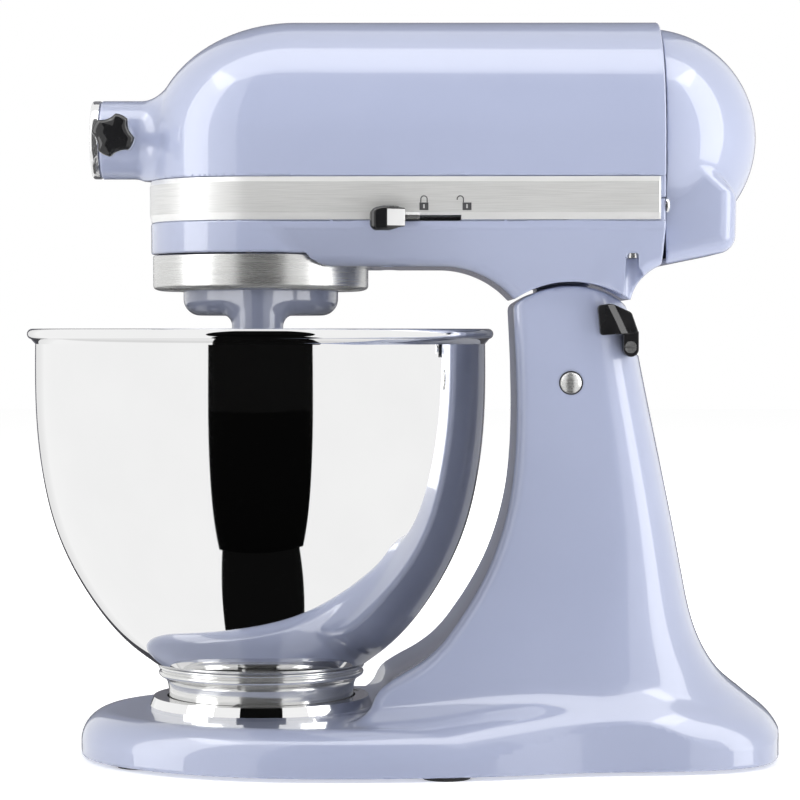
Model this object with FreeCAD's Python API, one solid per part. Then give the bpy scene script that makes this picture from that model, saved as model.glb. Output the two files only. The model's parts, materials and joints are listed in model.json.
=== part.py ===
"""Tilt-head stand mixer: bowl on a twist-lock plate, planetary drive, worm-geared motor, tilting head.

Frame: millimetres, +Z up, the head points along -X, the table is Z = 0 and the origin lies under the middle
of the mixer's footprint. Every function below makes one sub-part, or one group of identical fasteners.
"""
import FreeCAD, Part
import math
import os

V = FreeCAD.Vector
os.makedirs("parts", exist_ok=True)

# ---------------------------------------------------------------- driving dimensions
AXIS_X = -68.0                 # vertical axis of bowl, planetary and centre shaft
HEAD_Z = 294.4                 # axis of the motor and of the attachment hub
HEAD_TOP = 350.4
FRONT_R = 52.3                 # plan radius of the head's nose
REAR_X = 121.4                 # joint between the housings and the rear cover
REAR_HALF = 55.0               # half width of the head at that joint
CREST_X = -51.0                # where the crown starts to fall towards the nose
BAND_LOW, BAND_HIGH = 254.4, 274.4
BAND_PROUD, BAND_SINK = 0.6, 1.4
SPLIT_Z = 264.4                # joint between upper and lower housing, behind the band
WALL = 3.4
LEDGE = 0.15                   # the crown sits this much inside the upright sides
UNDERSIDE_Z = 233.0            # flat underside of the head
NOSE_UNDERSIDE_Z = 239.5       # the underside over the planetary

PIVOT_X, PIVOT_Z = 78.3, 179.0
COLUMN_CROWN_R = 44.7          # the column's top is a cylinder about the pivot
SADDLE_R = 46.9                # the head's saddle over it
PIN_R = 5.0
LUG_HALF = 21.0                # hinge lug of the head, inside the column's slot
SLOT_HALF = 22.5

BOWL_R = 111.4                 # over the rolled rim
RIM_Z = 203.3
FOOT_FRONT_X, FOOT_REAR_X = -154.0, 179.4
PLATEAU_Z = 22.5               # the base's flat top, under the bowl
POCKET_MID_X, POCKET_SHARE, POCKET_TOP = 8.0, 0.86, 14.0
BOSS_R = 13.0                  # round each rubber foot, inside the hollow
SEAM_Z = 36.0                  # bolted joint of base and column
FOOT_GAP = 1.6                 # rubber feet under the base

HUB_R, HUB_BORE_R = 18.7, 15.9
HUB_FRONT_X = -143.8
HUB_ROOT_X = -109.8
SPIGOT_R, SPIGOT_LENGTH = 17.4, 3.0
KNOB_X = -134.8

GEAR_MODULE = 1.5
RING_TEETH, PINION_TEETH = 54, 14
ORBIT_R = (RING_TEETH - PINION_TEETH) * GEAR_MODULE / 2
CENTRE_TEETH, STEP_TEETH = 56, 16
WHEEL_TEETH, WORM_STARTS = 24, 2
WHEEL_R, WORM_R = 17.0, 7.0
BEVEL_TEETH, HUB_BEVEL_TEETH = 24, 16
BEVEL_MODULE = 1.75
PRESSURE = math.radians(25)

BACKING = 3.0                  # hub behind a bevel gear's teeth
WHEEL_Y = WHEEL_R + WORM_R
WHEEL_X = AXIS_X + math.sqrt(((CENTRE_TEETH + STEP_TEETH) * GEAR_MODULE / 2) ** 2 - WHEEL_Y ** 2)
WHEEL_ANGLE = math.atan2(WHEEL_Y, WHEEL_X - AXIS_X)
BEVEL_DROP = HUB_BEVEL_TEETH * BEVEL_MODULE / 2
SIDE_SLOPE = (REAR_HALF - FRONT_R) / (REAR_X - AXIS_X)
SIDE_ANGLE = math.atan(SIDE_SLOPE)

COLUMN_BOLTS = [(30, -42), (30, 42), (112, -40), (112, 40)]
PLATE_SCREWS = [(AXIS_X + 34 * math.cos(math.radians(a)), 34 * math.sin(math.radians(a)))
                for a in (45, 135, 225, 315)]
FEET = [(-122, -42), (-122, 42), (20, -76), (20, 76), (160, 0)]

# trains of the worm, the bevels and the planetary
BEATER_Y = -ORBIT_R
SHAFT_R = 6.0
PIN_Z = 222.5                  # cross pin that ties the carrier to the centre shaft
HUB_FIRST = 180 / HUB_BEVEL_TEETH
WORM_LEAD = WORM_STARTS * 2 * math.pi * WHEEL_R / WHEEL_TEETH
WORM_FIRST = 90 - 360 / WORM_LEAD * ((WORM_LEAD / 4 + 12) % (WORM_LEAD / WORM_STARTS))
WHEEL_FIRST = -90.0
WHEEL_HALF = 3.5               # half the worm wheel's face width
WHEEL_TWIST = math.degrees(WORM_LEAD / (2 * math.pi) * math.atan(WHEEL_HALF / WORM_R) / WHEEL_R)

# levers, screws and slots of the head
LEVER_SLOT_Z = (253.9, 256.5)
LOCK_TRAVEL, SPEED_TRAVEL = 18.5, 60.0
SCREW_SEAT_FRONT, SCREW_SEAT_REAR = 236.5, 239.0
HOUSING_SCREWS = [(106.5, -47.5, SCREW_SEAT_REAR), (106.5, 47.5, SCREW_SEAT_REAR),
                  (-6.7, -38, SCREW_SEAT_FRONT), (-6.7, 38, SCREW_SEAT_FRONT)]
BAND_SCREW_Y, BAND_SCREW_Z = 51.0, 261
COVER_R, COVER_X = 52.6, 115.9
CHIN_X = 155.7                 # rear of the cover's boxy chin

# bowl's twist lock
PLATE_TOP = 28.4
LIP_R = 45.2
NECK_R = 44.5
LUG_R = 47.2

# outlines and section rows of the shaped skins
BASE_OUTLINE = [(FOOT_FRONT_X, 0), (-145, 38), (-122, 64), (-88, 83), (-42, 91.8), (8, 90), (60, 80),
                (110, 71), (146, 65.5), (168, 51), (177, 28), (FOOT_REAR_X, 0)]
# z, x of the front corner, half width there, x of the rear, half width where the rear starts to round
COLUMN_SECTIONS = [(6, -22, 66, 178.0, 69), (23, -19, 62.5, 170.6, 66), (30, -16, 58.5, 164.4, 62.5),
                   (38, -11, 55, 154.6, 59), (47, 3.8, 52.5, 146.9, 55.5), (64.3, 22.1, 49, 138.7, 51),
                   (87.4, 36.5, 46.5, 133.4, 48), (122, 48.5, 45, 126.7, 45.5), (160, 52.2, 44, 118.8, 43.5),
                   (195, 51.6, 43.2, 111.8, 42), (228, 50.0, 42.5, 105.6, 41)]
# x from, x to, half width, z from, z to of the hollow inside the column
COLUMN_ROOMS = [(16, 132, 35, SEAM_Z - 1, 46), (34, 126, 38, 46, 62), (60, 104, 36, 62, 150),
                (104, 112, 26, 62, 150)]
BOWL_CURVE = [(107.5, 197.0), (107.4, 170.0), (104.6, 138.0), (97.0, 106.5), (82.5, 77.6), (62.0, 53.0),
              (49.5, 43.6)]
NECK_OUTLINE = [(8, 240), (18, 233), (24, 232.6), (30, 231.4), (36, 229.2), (41, 226.7), (46, 223.2),
                (49.6, 219.9), (52.2, 217), (106, 216), (106.6, 218.5), (108.3, 223.7), (111.2, 227.8),
                (115.5, 231.4), (121.4, 234.1), (121.4, 240)]
LIP_Z, LIP_INSET = 250.2, 0.9  # the lip under the trim band
TAPER = 0.29                   # the sides below it draw in this much per millimetre
NECK_HALF = 44.4


# ---------------------------------------------------------------- helpers
def box(x0, x1, y0, y1, z0, z1):
    return Part.makeBox(x1 - x0, y1 - y0, z1 - z0, V(x0, y0, z0))


def cyl(radius, length, start, axis=(0, 0, 1)):
    return Part.makeCylinder(radius, length, V(*start), V(*axis))


def tube(outer, inner, length, start, axis=(0, 0, 1)):
    return cyl(outer, length, start, axis).cut(cyl(inner, length, start, axis))


def polygon(points):
    return Part.Face(Part.makePolygon([V(*p) for p in points] + [V(*points[0])]))


def turned(profile, x=AXIS_X, y=0.0):
    """A solid turned about a vertical axis from (radius, z) corners."""
    face = polygon([(x + r, y, z) for r, z in profile])
    return face.revolve(V(x, y, 0), V(0, 0, 1), 360)


def turned_x(profile, y=0.0, z=HEAD_Z):
    """A solid turned about an axis along X from (x, radius) corners."""
    face = polygon([(x, y, z + r) for x, r in profile])
    return face.revolve(V(0, y, z), V(1, 0, 0), 360)


def side_profile(points, half):
    """A shape drawn in the side view, (x, z) corners, as wide as 2 * half."""
    return polygon([(x, -half, z) for x, z in points]).extrude(V(0, 2 * half, 0))


def around(shape, count, x=AXIS_X, y=0.0, first=0.0):
    """Copies of shape spaced evenly about a vertical axis."""
    copies = []
    for i in range(count):
        copy = shape.copy()
        copy.rotate(V(x, y, 0), V(0, 0, 1), first + 360.0 * i / count)
        copies.append(copy)
    return copies


def save(name, shape):
    merged = shape.removeSplitter() if len(shape.Solids) == 1 else shape
    solids = (merged if merged.isValid() else shape).Solids
    if not solids or any(not s.isValid() or s.Volume <= 0 for s in solids):
        print("PROBLEM", name, [(s.isValid(), round(s.Volume, 1)) for s in solids])
    out = solids[0] if len(solids) == 1 else Part.makeCompound(solids)
    out.exportStep("parts/" + name + ".step")
    return out


# ---------------------------------------------------------------- head skin
def half_width(x, inset=0.0):
    """Half the head's width at x: a round nose, then straight sides that part a little to the rear."""
    r = FRONT_R - inset
    if x < AXIS_X - r * math.sin(SIDE_ANGLE):
        return math.sqrt(max(r * r - (x - AXIS_X) ** 2, 0.0))
    return (r + (x - AXIS_X) * math.sin(SIDE_ANGLE)) / math.cos(SIDE_ANGLE)


def crown(x, inset=0.0):
    """Height of the head's crown over HEAD_Z at x, a quarter ellipse at the nose."""
    rise = HEAD_TOP - HEAD_Z - inset
    reach = CREST_X - (AXIS_X - FRONT_R) + 0.6 - inset
    return rise * math.sqrt(max(1 - (max(CREST_X - x, 0.0) / reach) ** 2, 0.0))


def plan_wire(inset, z, x_end=REAR_X):
    """The head's outline seen from above."""
    r = FRONT_R - inset
    x_t = AXIS_X - r * math.sin(SIDE_ANGLE)
    y_t = r * math.cos(SIDE_ANGLE)
    y_e = half_width(x_end, inset)
    nose = Part.Arc(V(x_t, y_t, z), V(AXIS_X - r, 0, z), V(x_t, -y_t, z)).toShape()
    sides = Part.makePolygon([V(x_t, -y_t, z), V(x_end, -y_e, z), V(x_end, y_e, z), V(x_t, y_t, z)])
    return Part.Wire([nose] + sides.Edges)


def plan_solid(inset, z0, z1, x_end=REAR_X):
    """The head's outline as a prism."""
    return Part.Face(plan_wire(inset, z0, x_end)).extrude(V(0, 0, z1 - z0))


def crown_section(x, inset, z_low):
    """The head's cross-section at x: a half ellipse on upright sides."""
    w, h = half_width(x, inset), crown(x, inset)
    arch = Part.BSplineCurve()
    arch.interpolate([V(x, w * math.cos(math.radians(a)), HEAD_Z + h * math.sin(math.radians(a)))
                      for a in range(0, 181, 15)], InitialTangent=V(0, 0, 1), FinalTangent=V(0, 0, -1))
    feet = Part.makePolygon([V(x, -w, HEAD_Z), V(x, -w, z_low), V(x, w, z_low), V(x, w, HEAD_Z)])
    return Part.Wire([arch.toShape()] + feet.Edges)


def crown_solid(inset, z_low, x_end=REAR_X):
    """The upper half of the head down to z_low: a lofted nose and a straight run behind it."""
    r = FRONT_R - inset
    stations = [AXIS_X - (r - 0.1) * math.cos(math.radians(a)) for a in (8, 17, 26, 36, 46, 57, 68, 79)]
    top = inset + LEDGE
    rows = [crown_section(x, top, HEAD_Z - 2) for x in stations + [-62.0, CREST_X]]
    nose = Part.makeLoft(rows, True, False)
    rear = Part.makeLoft([crown_section(x, top, HEAD_Z - 2) for x in (CREST_X, x_end)], True, True)
    return nose.fuse(rear).fuse(plan_solid(inset, z_low, HEAD_Z, x_end))


# ---------------------------------------------------------------- gears
def tooth_wire(teeth, module, z, first, thick=0.44, high=0.9, deep=1.15, internal=False, scale=1.0):
    """A gear's outline at height z about the origin, straight-flanked; first is the angle of one tooth."""
    pitch = teeth * module / 2
    sign = -1 if internal else 1
    step = 2 * math.pi / teeth
    half = step * thick / 2
    lean = module * math.tan(PRESSURE) / pitch
    root, wide = pitch - sign * deep * module, half + deep * lean
    tip, narrow = pitch + sign * high * module, half - high * lean
    points = []
    for i in range(teeth):
        a = math.radians(first) + i * step
        for radius, turn in ((root, -wide), (tip, -narrow), (tip, narrow), (root, wide)):
            points.append(V(scale * radius * math.cos(a + turn), scale * radius * math.sin(a + turn), z))
    return Part.makePolygon(points + [points[0]])


def spur_gear(teeth, module, thickness, first, bore):
    face = Part.Face(tooth_wire(teeth, module, 0, first))
    return face.extrude(V(0, 0, thickness)).cut(cyl(bore, thickness, (0, 0, 0)))


def bevel_gear(teeth, module, rise, first, bore, hub):
    """A bevel gear with its apex at the origin and its back face at z = -rise."""
    keep = 0.66
    back = tooth_wire(teeth, module, -rise, first, thick=0.40, high=0.7, deep=1.0)
    front = tooth_wire(teeth, module, -rise * keep, first, thick=0.40, high=0.7, deep=1.0, scale=keep)
    body = Part.makeLoft([back, front], True, True)
    body = body.fuse(cyl(hub, BACKING, (0, 0, -rise - BACKING)))
    return body.cut(cyl(bore, 3 * rise, (0, 0, -2.5 * rise))) if bore else body


# ---------------------------------------------------------------- base and column
def base_outline_wire(z):
    upper = BASE_OUTLINE
    lower = [(x, -y) for x, y in reversed(upper[1:-1])]
    curve = Part.BSplineCurve()
    curve.interpolate([V(x, y, z) for x, y in upper + lower], PeriodicFlag=True)
    return Part.Wire([curve.toShape()])


def column_section(z, x_front, w_front, x_rear, w_rear):
    """A level section: a slightly hollow front face between two crisp corners, and a rounded back."""
    depth = x_rear - x_front
    turn = x_rear - 0.38 * depth
    side = [(x_front, w_front), ((2 * x_front + turn) / 3, (2 * w_front + w_rear) / 3),
            ((x_front + 2 * turn) / 3, (w_front + 2 * w_rear) / 3)]
    round_off = [(turn + (x_rear - turn) * math.sin(t) ** 0.9, w_rear * math.cos(t) ** 0.8)
                 for t in [math.radians(a) for a in (0, 18, 36, 54, 72)]]
    half = side + round_off
    points = half + [(x_rear, 0)] + [(x, -y) for x, y in reversed(half)]
    back = Part.BSplineCurve()
    back.interpolate([V(x, y, z) for x, y in points])
    hollow = 3.0 + 0.05 * (x_rear - x_front - 55)
    front = Part.Arc(V(x_front, -w_front, z), V(x_front + hollow, 0, z), V(x_front, w_front, z)).toShape()
    return Part.Wire([back.toShape(), front])


def column_loft():
    return Part.makeLoft([column_section(*row) for row in COLUMN_SECTIONS], True, False)


def base_pocket():
    """The hollow under the base, with a boss left round each rubber foot."""
    rim = [(POCKET_MID_X + POCKET_SHARE * (x - POCKET_MID_X), POCKET_SHARE * y) for x, y in BASE_OUTLINE]
    loop = rim + [(x, -y) for x, y in reversed(rim[1:-1])]
    pocket = polygon([(x, y, FOOT_GAP - 1) for x, y in loop]).extrude(V(0, 0, POCKET_TOP - FOOT_GAP + 1))
    for x, y in FEET:
        pocket = pocket.cut(cyl(BOSS_R, 40, (x, y, -5)))
    return pocket


def bolt(x, y, z_head, radius, length, head_r, head_h, up=True):
    way = 1 if up else -1
    shank = cyl(radius, length, (x, y, z_head), (0, 0, way))
    return shank.fuse(cyl(head_r, head_h, (x, y, z_head), (0, 0, -way)))


def base_and_column():
    slab = Part.Face(base_outline_wire(FOOT_GAP)).extrude(V(0, 0, PLATEAU_Z - FOOT_GAP))
    top = [e for e in slab.Edges if e.BoundBox.ZMin > PLATEAU_Z - 0.1]
    slab = slab.makeFillet(14.5, top)
    loft = column_loft()
    base = slab.fuse(loft.common(box(-60, 190, -100, 100, FOOT_GAP, SEAM_Z)))
    column = loft.common(box(-60, 190, -100, 100, SEAM_Z, 240))
    limit = cyl(COLUMN_CROWN_R + 1.0, 120, (PIVOT_X, -60, PIVOT_Z), (0, 1, 0))
    column = column.common(limit.fuse(box(-60, 190, -100, 100, SEAM_Z - 1, PIVOT_Z + 12)))
    for x0, x1, half, z0, z1 in COLUMN_ROOMS:
        column = column.cut(box(x0, x1, -half, half, z0, z1))
    column = column.cut(box(58, 104, -SLOT_HALF, SLOT_HALF, 163, 240))
    column = column.cut(box(100, 130, -SLOT_HALF, SLOT_HALF, 192, 240))
    column = column.cut(cyl(PIN_R + 0.05, 120, (PIVOT_X, -60, PIVOT_Z), (0, 1, 0)))
    column = column.cut(cord_clamp_blank(0.1))
    base = base.cut(box(14, 132, -50, 50, FOOT_GAP - 1, SEAM_Z - 8))
    base = base.cut(base_pocket())
    for x, y in COLUMN_BOLTS:
        base = base.cut(cyl(3.3, 60, (x, y, 0)))
        column = column.cut(cyl(3.0, 18, (x, y, SEAM_Z)))
    for x, y in PLATE_SCREWS:
        base = base.cut(cyl(2.2, 20, (x, y, PLATEAU_Z - 7)))
    for x, y in FEET:
        base = base.cut(cyl(4.0, 5, (x, y, FOOT_GAP)))
    save("base_foot", base)
    save("column", column)


def cord_clamp_blank(gap=0.0):
    """The cord clamp's side view, set into the near cheek at the top of the column."""
    outline = [(90.2, 215.1), (97.1, 216.0), (106.4, 211.8), (110.1, 201.1), (108.7, 190.9), (103.6, 193.3),
               (102.7, 199.8), (91.6, 201.1)]
    face = polygon([(x, -47.0, z) for x, z in outline])
    block = face.extrude(V(0, 13.0, 0))
    return block.makeOffsetShape(gap, 0.01) if gap else block


def stand_fittings():
    under = SEAM_Z - 8
    bolts = [bolt(x, y, under - 1.0, 3.0, 24, 6.0, 4.0) for x, y in COLUMN_BOLTS]
    save("column_bolts", Part.makeCompound(bolts))
    washers = [tube(7.0, 3.0, 1.0, (x, y, under - 1.0)) for x, y in COLUMN_BOLTS]
    save("bolt_washers", Part.makeCompound(washers))
    feet = [cyl(11, FOOT_GAP, (x, y, 0)).fuse(cyl(4.0, 5.0, (x, y, FOOT_GAP))) for x, y in FEET]
    save("rubber_feet", Part.makeCompound(feet))
    save("hinge_pin", cyl(PIN_R, 86.8, (PIVOT_X, -43.4, PIVOT_Z), (0, 1, 0)))


def cord_clamp():
    screw_at = (105.6, -46.0, 195.6)
    clamp = cord_clamp_blank()
    for i in range(4):
        clamp = clamp.cut(box(99.5 + 2.6 * i, 100.6 + 2.6 * i, -48, -46.2, 195, 218))
    clamp = clamp.cut(cyl(1.6, 14, (screw_at[0], -47.5, screw_at[2]), (0, 1, 0)))
    save("cord_clamp", clamp)
    screw = cyl(2.8, 1.6, (screw_at[0], -48.6, screw_at[2]), (0, 1, 0))
    screw = screw.fuse(cyl(1.6, 12, (screw_at[0], -47.0, screw_at[2]), (0, 1, 0)))
    save("cord_clamp_screw", screw.cut(box(screw_at[0] - 3, screw_at[0] + 3, -49, -48, 195.2, 196.0)))


# ---------------------------------------------------------------- bowl and its clamp plate
def clamp_plate():
    z = PLATEAU_Z
    floor, ceiling, room_r = z + 1.8, z + 4.9, LUG_R + 0.7
    plate = turned([(0, z), (53.3, z), (53.3, z + 1.6), (51.6, PLATE_TOP), (LIP_R, PLATE_TOP),
                    (LIP_R, ceiling), (room_r, ceiling), (room_r, floor), (0, floor)])
    entry = box(AXIS_X + 40, AXIS_X + room_r, -11, 11, floor, PLATE_TOP + 1)
    for way in around(entry, 3, first=30):
        plate = plate.cut(way)
    for x, y in PLATE_SCREWS:
        plate = plate.cut(cyl(2.3, 4, (x, y, z - 1)))
    save("bowl_clamp_plate", plate)
    screws = [bolt(x, y, floor, 2.2, 8.0, 4.0, 0.9, up=False) for x, y in PLATE_SCREWS]
    save("clamp_plate_screws", Part.makeCompound(screws))


def bowl_edge(inset):
    """The bowl's wall as a curve of (radius, z), moved in by inset."""
    points = []
    for i, (r, z) in enumerate(BOWL_CURVE):
        a = BOWL_CURVE[max(i - 1, 0)]
        b = BOWL_CURVE[min(i + 1, len(BOWL_CURVE) - 1)]
        dr, dz = b[0] - a[0], b[1] - a[1]
        size = math.hypot(dr, dz)
        points.append(V(AXIS_X + r + inset * dz / size, 0, z - inset * dr / size))
    curve = Part.BSplineCurve()
    curve.interpolate(points)
    return curve


def bowl_shell():
    wall = 1.1
    outside, inside = bowl_edge(0), bowl_edge(wall)
    a, b = outside.StartPoint, outside.EndPoint
    c, d = inside.StartPoint, inside.EndPoint
    floor_out, floor_in = V(AXIS_X, 0, b.z), V(AXIS_X, 0, d.z)
    joins = [Part.makeLine(b, floor_out), Part.makeLine(floor_out, floor_in), Part.makeLine(floor_in, d),
             Part.makeLine(c, V(c.x, 0, RIM_Z)), Part.makeLine(V(c.x, 0, RIM_Z), V(a.x, 0, RIM_Z)),
             Part.makeLine(V(a.x, 0, RIM_Z), a)]
    outline = Part.Wire(Part.__sortEdges__([outside.toShape(), inside.toShape()] + joins))
    bowl = Part.Face(outline).revolve(V(AXIS_X, 0, 0), V(0, 0, 1), 360)
    bead = Part.makeTorus(BOWL_R - 2.5, 2.5, V(AXIS_X, 0, RIM_Z - 1.0), V(0, 0, 1))
    hem = turned([(106.6, RIM_Z - 2.6), (BOWL_R - 2.5, RIM_Z - 2.6), (BOWL_R - 2.5, RIM_Z + 0.9),
                  (106.6, RIM_Z + 0.9)])
    save("bowl", bowl.fuse(bead).fuse(hem))


def bowl_foot():
    foot = turned([(42.0, 25.2), (NECK_R, 25.2), (NECK_R, 37.0), (48.6, 39.2), (49.2, 41.0), (48.0, 42.2),
                   (49.6, 43.5), (42.0, 43.5)])
    lug = turned([(NECK_R - 1, 25.2), (LUG_R, 25.2), (LUG_R, 27.0), (NECK_R - 1, 27.0)])
    for piece in around(lug.common(box(AXIS_X, AXIS_X + 60, -8.5, 8.5, 20, 30)), 3):
        foot = foot.fuse(piece)
    save("bowl_foot", foot)


# ---------------------------------------------------------------- planetary and beater
def planetary_carrier():
    drum = cyl(37, 17.6, (AXIS_X, 0, 210.5))
    drum = drum.makeFillet(8, [e for e in drum.Edges if e.BoundBox.ZMax < 211])
    boss = cyl(12.2, 37, (AXIS_X, BEATER_Y, 199))
    carrier = drum.fuse(cyl(49.6, 9.5, (AXIS_X, 0, 228))).fuse(boss)
    carrier = carrier.cut(cyl(SHAFT_R, 60, (AXIS_X, 0, 205)))
    carrier = carrier.cut(cyl(SHAFT_R + 0.06, 60, (AXIS_X, BEATER_Y, 190)))
    carrier = carrier.cut(cyl(1.5, 48, (AXIS_X, -8, PIN_Z), (0, 1, 0)))
    save("planetary_carrier", carrier)


def drip_ring():
    ring = turned([(49.8, 239.0), (49.8, 227.6), (47.5, 223.4), (43.0, 223.4), (43.0, 222.0), (48.0, 222.0),
                   (50.6, 223.2), (51.6, 226.0), (51.6, 239.0)])
    save("drip_ring", ring)


def centre_shaft_parts():
    shaft = cyl(SHAFT_R, 66, (AXIS_X, 0, 214)).cut(cyl(1.5, 20, (AXIS_X, -10, PIN_Z), (0, 1, 0)))
    save("centre_shaft", shaft)
    save("carrier_pin", cyl(1.5, 44.5, (AXIS_X, -8, PIN_Z), (0, 1, 0)))
    gear = spur_gear(CENTRE_TEETH, GEAR_MODULE, 8, math.degrees(WHEEL_ANGLE), SHAFT_R)
    for hole in around(cyl(7, 8, (24, 0, 0)), 6, x=0):
        gear = gear.cut(hole)
    gear.translate(V(AXIS_X, 0, 262))
    save("centre_gear", gear)
    bevel = bevel_gear(BEVEL_TEETH, BEVEL_MODULE, BEVEL_DROP, 0, SHAFT_R, 15)
    bevel.translate(V(AXIS_X, 0, HEAD_Z))
    save("centre_bevel_gear", bevel)


def beater_shaft_parts():
    cross = cyl(1.5, 17, (AXIS_X - 8.5, BEATER_Y, 186), (1, 0, 0))
    shaft = cyl(SHAFT_R, 68.5, (AXIS_X, BEATER_Y, 180)).fuse(cross)
    shaft = shaft.cut(tube(SHAFT_R + 1, SHAFT_R - 0.8, 1.2, (AXIS_X, BEATER_Y, 238.0)))
    save("beater_shaft", shaft)
    clip = tube(8.0, SHAFT_R - 0.8, 1.1, (AXIS_X, BEATER_Y, 238.0)).cut(
        box(AXIS_X, AXIS_X + 10, BEATER_Y - 2, BEATER_Y + 2, 237, 240))
    save("shaft_clip", clip)
    pinion = spur_gear(PINION_TEETH, GEAR_MODULE, 7, -90, SHAFT_R)
    pinion.translate(V(AXIS_X, BEATER_Y, 240.6))
    save("planet_pinion", pinion)


def flat_beater():
    outer = [(-9, 176), (-22, 166), (-52, 148), (-61, 128), (-60, 106), (-50, 82), (-34, 66), (-16, 57)]
    inner = [(-8, 160), (-43, 141), (-51, 124), (-50, 108), (-41, 87), (-28, 74), (-12, 67)]
    frame = polygon([(x, 0, z) for x, z in outer + [(-x, z) for x, z in reversed(outer)]])
    frame = frame.cut(polygon([(x, 0, z) for x, z in inner + [(-x, z) for x, z in reversed(inner)]]))
    bars = polygon([(-4, 0, 165), (4, 0, 165), (4, 0, 63), (-4, 0, 63)])
    for z in (92, 122):
        bars = bars.fuse(polygon([(-54, 0, z + 8), (0, 0, z), (54, 0, z + 8), (54, 0, z + 15), (0, 0, z + 7),
                                  (-54, 0, z + 15)]))
    blade = frame.fuse(bars).extrude(V(0, 7, 0))
    blade.translate(V(AXIS_X, BEATER_Y - 3.5, 0))
    collar = cyl(11, 26, (AXIS_X, BEATER_Y, 168))
    blade = blade.fuse(collar).cut(cyl(SHAFT_R, 30, (AXIS_X, BEATER_Y, 180)))
    blade = blade.cut(box(AXIS_X - 12, AXIS_X + 12, BEATER_Y - 1.6, BEATER_Y + 1.6, 184.4, 187.6))
    save("flat_beater", blade)


# ---------------------------------------------------------------- head housings
def saddle_side():
    """The head seen from the front: full width above, drawn in evenly to the saddle's width."""
    top = REAR_HALF - LIP_INSET
    rows = [(NECK_HALF, 205), (NECK_HALF, LIP_Z - (top - NECK_HALF) / TAPER), (top, LIP_Z), (top, 300)]
    corners = rows + [(-y, z) for y, z in reversed(rows)]
    return polygon([(-130, y, z) for y, z in corners]).extrude(V(300, 0, 0))


def lower_outside():
    lip = plan_solid(0.4, LIP_Z, SPLIT_Z)
    low_inset = LIP_INSET + TAPER * (LIP_Z - UNDERSIDE_Z)
    belly = Part.makeLoft([plan_wire(low_inset, UNDERSIDE_Z), plan_wire(LIP_INSET, LIP_Z)], True, True)
    low_edges = [e for e in belly.Edges if e.BoundBox.ZMax < UNDERSIDE_Z + 0.1]
    belly = belly.makeFillet(5.5, [e for e in low_edges if e.BoundBox.XMax - e.BoundBox.XMin > 20])
    belly = belly.cut(cyl(FRONT_R + 0.8, 30, (AXIS_X, 0, NOSE_UNDERSIDE_Z - 30)))
    belly = belly.cut(box(-140, AXIS_X, -70, 70, 220, NOSE_UNDERSIDE_Z))
    nose = cyl(FRONT_R, SPLIT_Z - NOSE_UNDERSIDE_Z, (AXIS_X, 0, NOSE_UNDERSIDE_Z))
    neck = side_profile(NECK_OUTLINE, 60).common(saddle_side())
    return lip.fuse(belly).fuse(nose).fuse(neck)


def band_seat(z0, z1):
    """The shallow rebate round the head that the trim band lies in."""
    ring = plan_solid(-5, z0, z1, REAR_X + 5).cut(plan_solid(BAND_SINK, z0 - 1, z1 + 1, REAR_X + 6))
    return ring.common(box(-200, 119.4, -80, 80, z0, z1))


def rear_mouth(x0, x1):
    """The opening between the head's main cavity and the rear cover."""
    return cyl(47.5, x1 - x0, (x0, 0, HEAD_Z), (1, 0, 0)).fuse(box(x0, x1, -38, 38, 238, HEAD_Z))


def lower_housing():
    body = lower_outside()
    inner = plan_solid(BAND_SINK + WALL, 253.5, SPLIT_Z + 1, REAR_X - 4)
    body = body.cut(inner)
    body = body.cut(plan_solid(WALL + 3, 237.5, 254, REAR_X - 4).common(box(-6, 130, -60, 60, 230, 260)))
    body = body.cut(rear_mouth(REAR_X - 5, REAR_X + 1))
    body = body.cut(cyl(47.0, 250.0 - 230, (AXIS_X, 0, 230)))
    body = body.cut(cyl(SADDLE_R, 140, (PIVOT_X, -70, PIVOT_Z), (0, 1, 0)))
    lug = box(PIVOT_X - 15, PIVOT_X + 9, -LUG_HALF, LUG_HALF, PIVOT_Z, 236.5)
    lug = lug.fuse(cyl(15, 2 * LUG_HALF, (PIVOT_X, -LUG_HALF, PIVOT_Z), (0, 1, 0)))
    body = body.fuse(lug).cut(cyl(PIN_R + 0.08, 60, (PIVOT_X, -30, PIVOT_Z), (0, 1, 0)))
    body = body.cut(band_seat(BAND_LOW, SPLIT_Z + 1))
    body = body.fuse(cyl(9.5, 5, (WHEEL_X, WHEEL_Y, 252))).fuse(cyl(12, 4, (AXIS_X, 0, 252)))
    body = body.cut(cyl(9.0, 30, (AXIS_X, 0, 240))).cut(cyl(6.0, 12, (WHEEL_X, WHEEL_Y, 250.8)))
    body = body.cut(box(-6.6, 8 + LOCK_TRAVEL + 0.6, -60, -40, *LEVER_SLOT_Z))
    body = body.cut(box(67 - SPEED_TRAVEL - 0.6, 81.6, 40, 60, *LEVER_SLOT_Z))
    for side in (-1, 1):
        body = body.cut(cyl(1.65, 6, (REAR_X - 4, side * BAND_SCREW_Y, BAND_SCREW_Z), (1, 0, 0)))
    for x, y, seat in HOUSING_SCREWS:
        body = body.cut(cyl(4.3, seat - 200, (x, y, 200))).cut(cyl(2.1, 20, (x, y, seat - 1)))
    save("lower_housing", body)


def housing_screws():
    screws = [bolt(x, y, seat, 2.0, 12, 3.9, 2.2) for x, y, seat in HOUSING_SCREWS]
    save("housing_screws", Part.makeCompound(screws))


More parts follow.
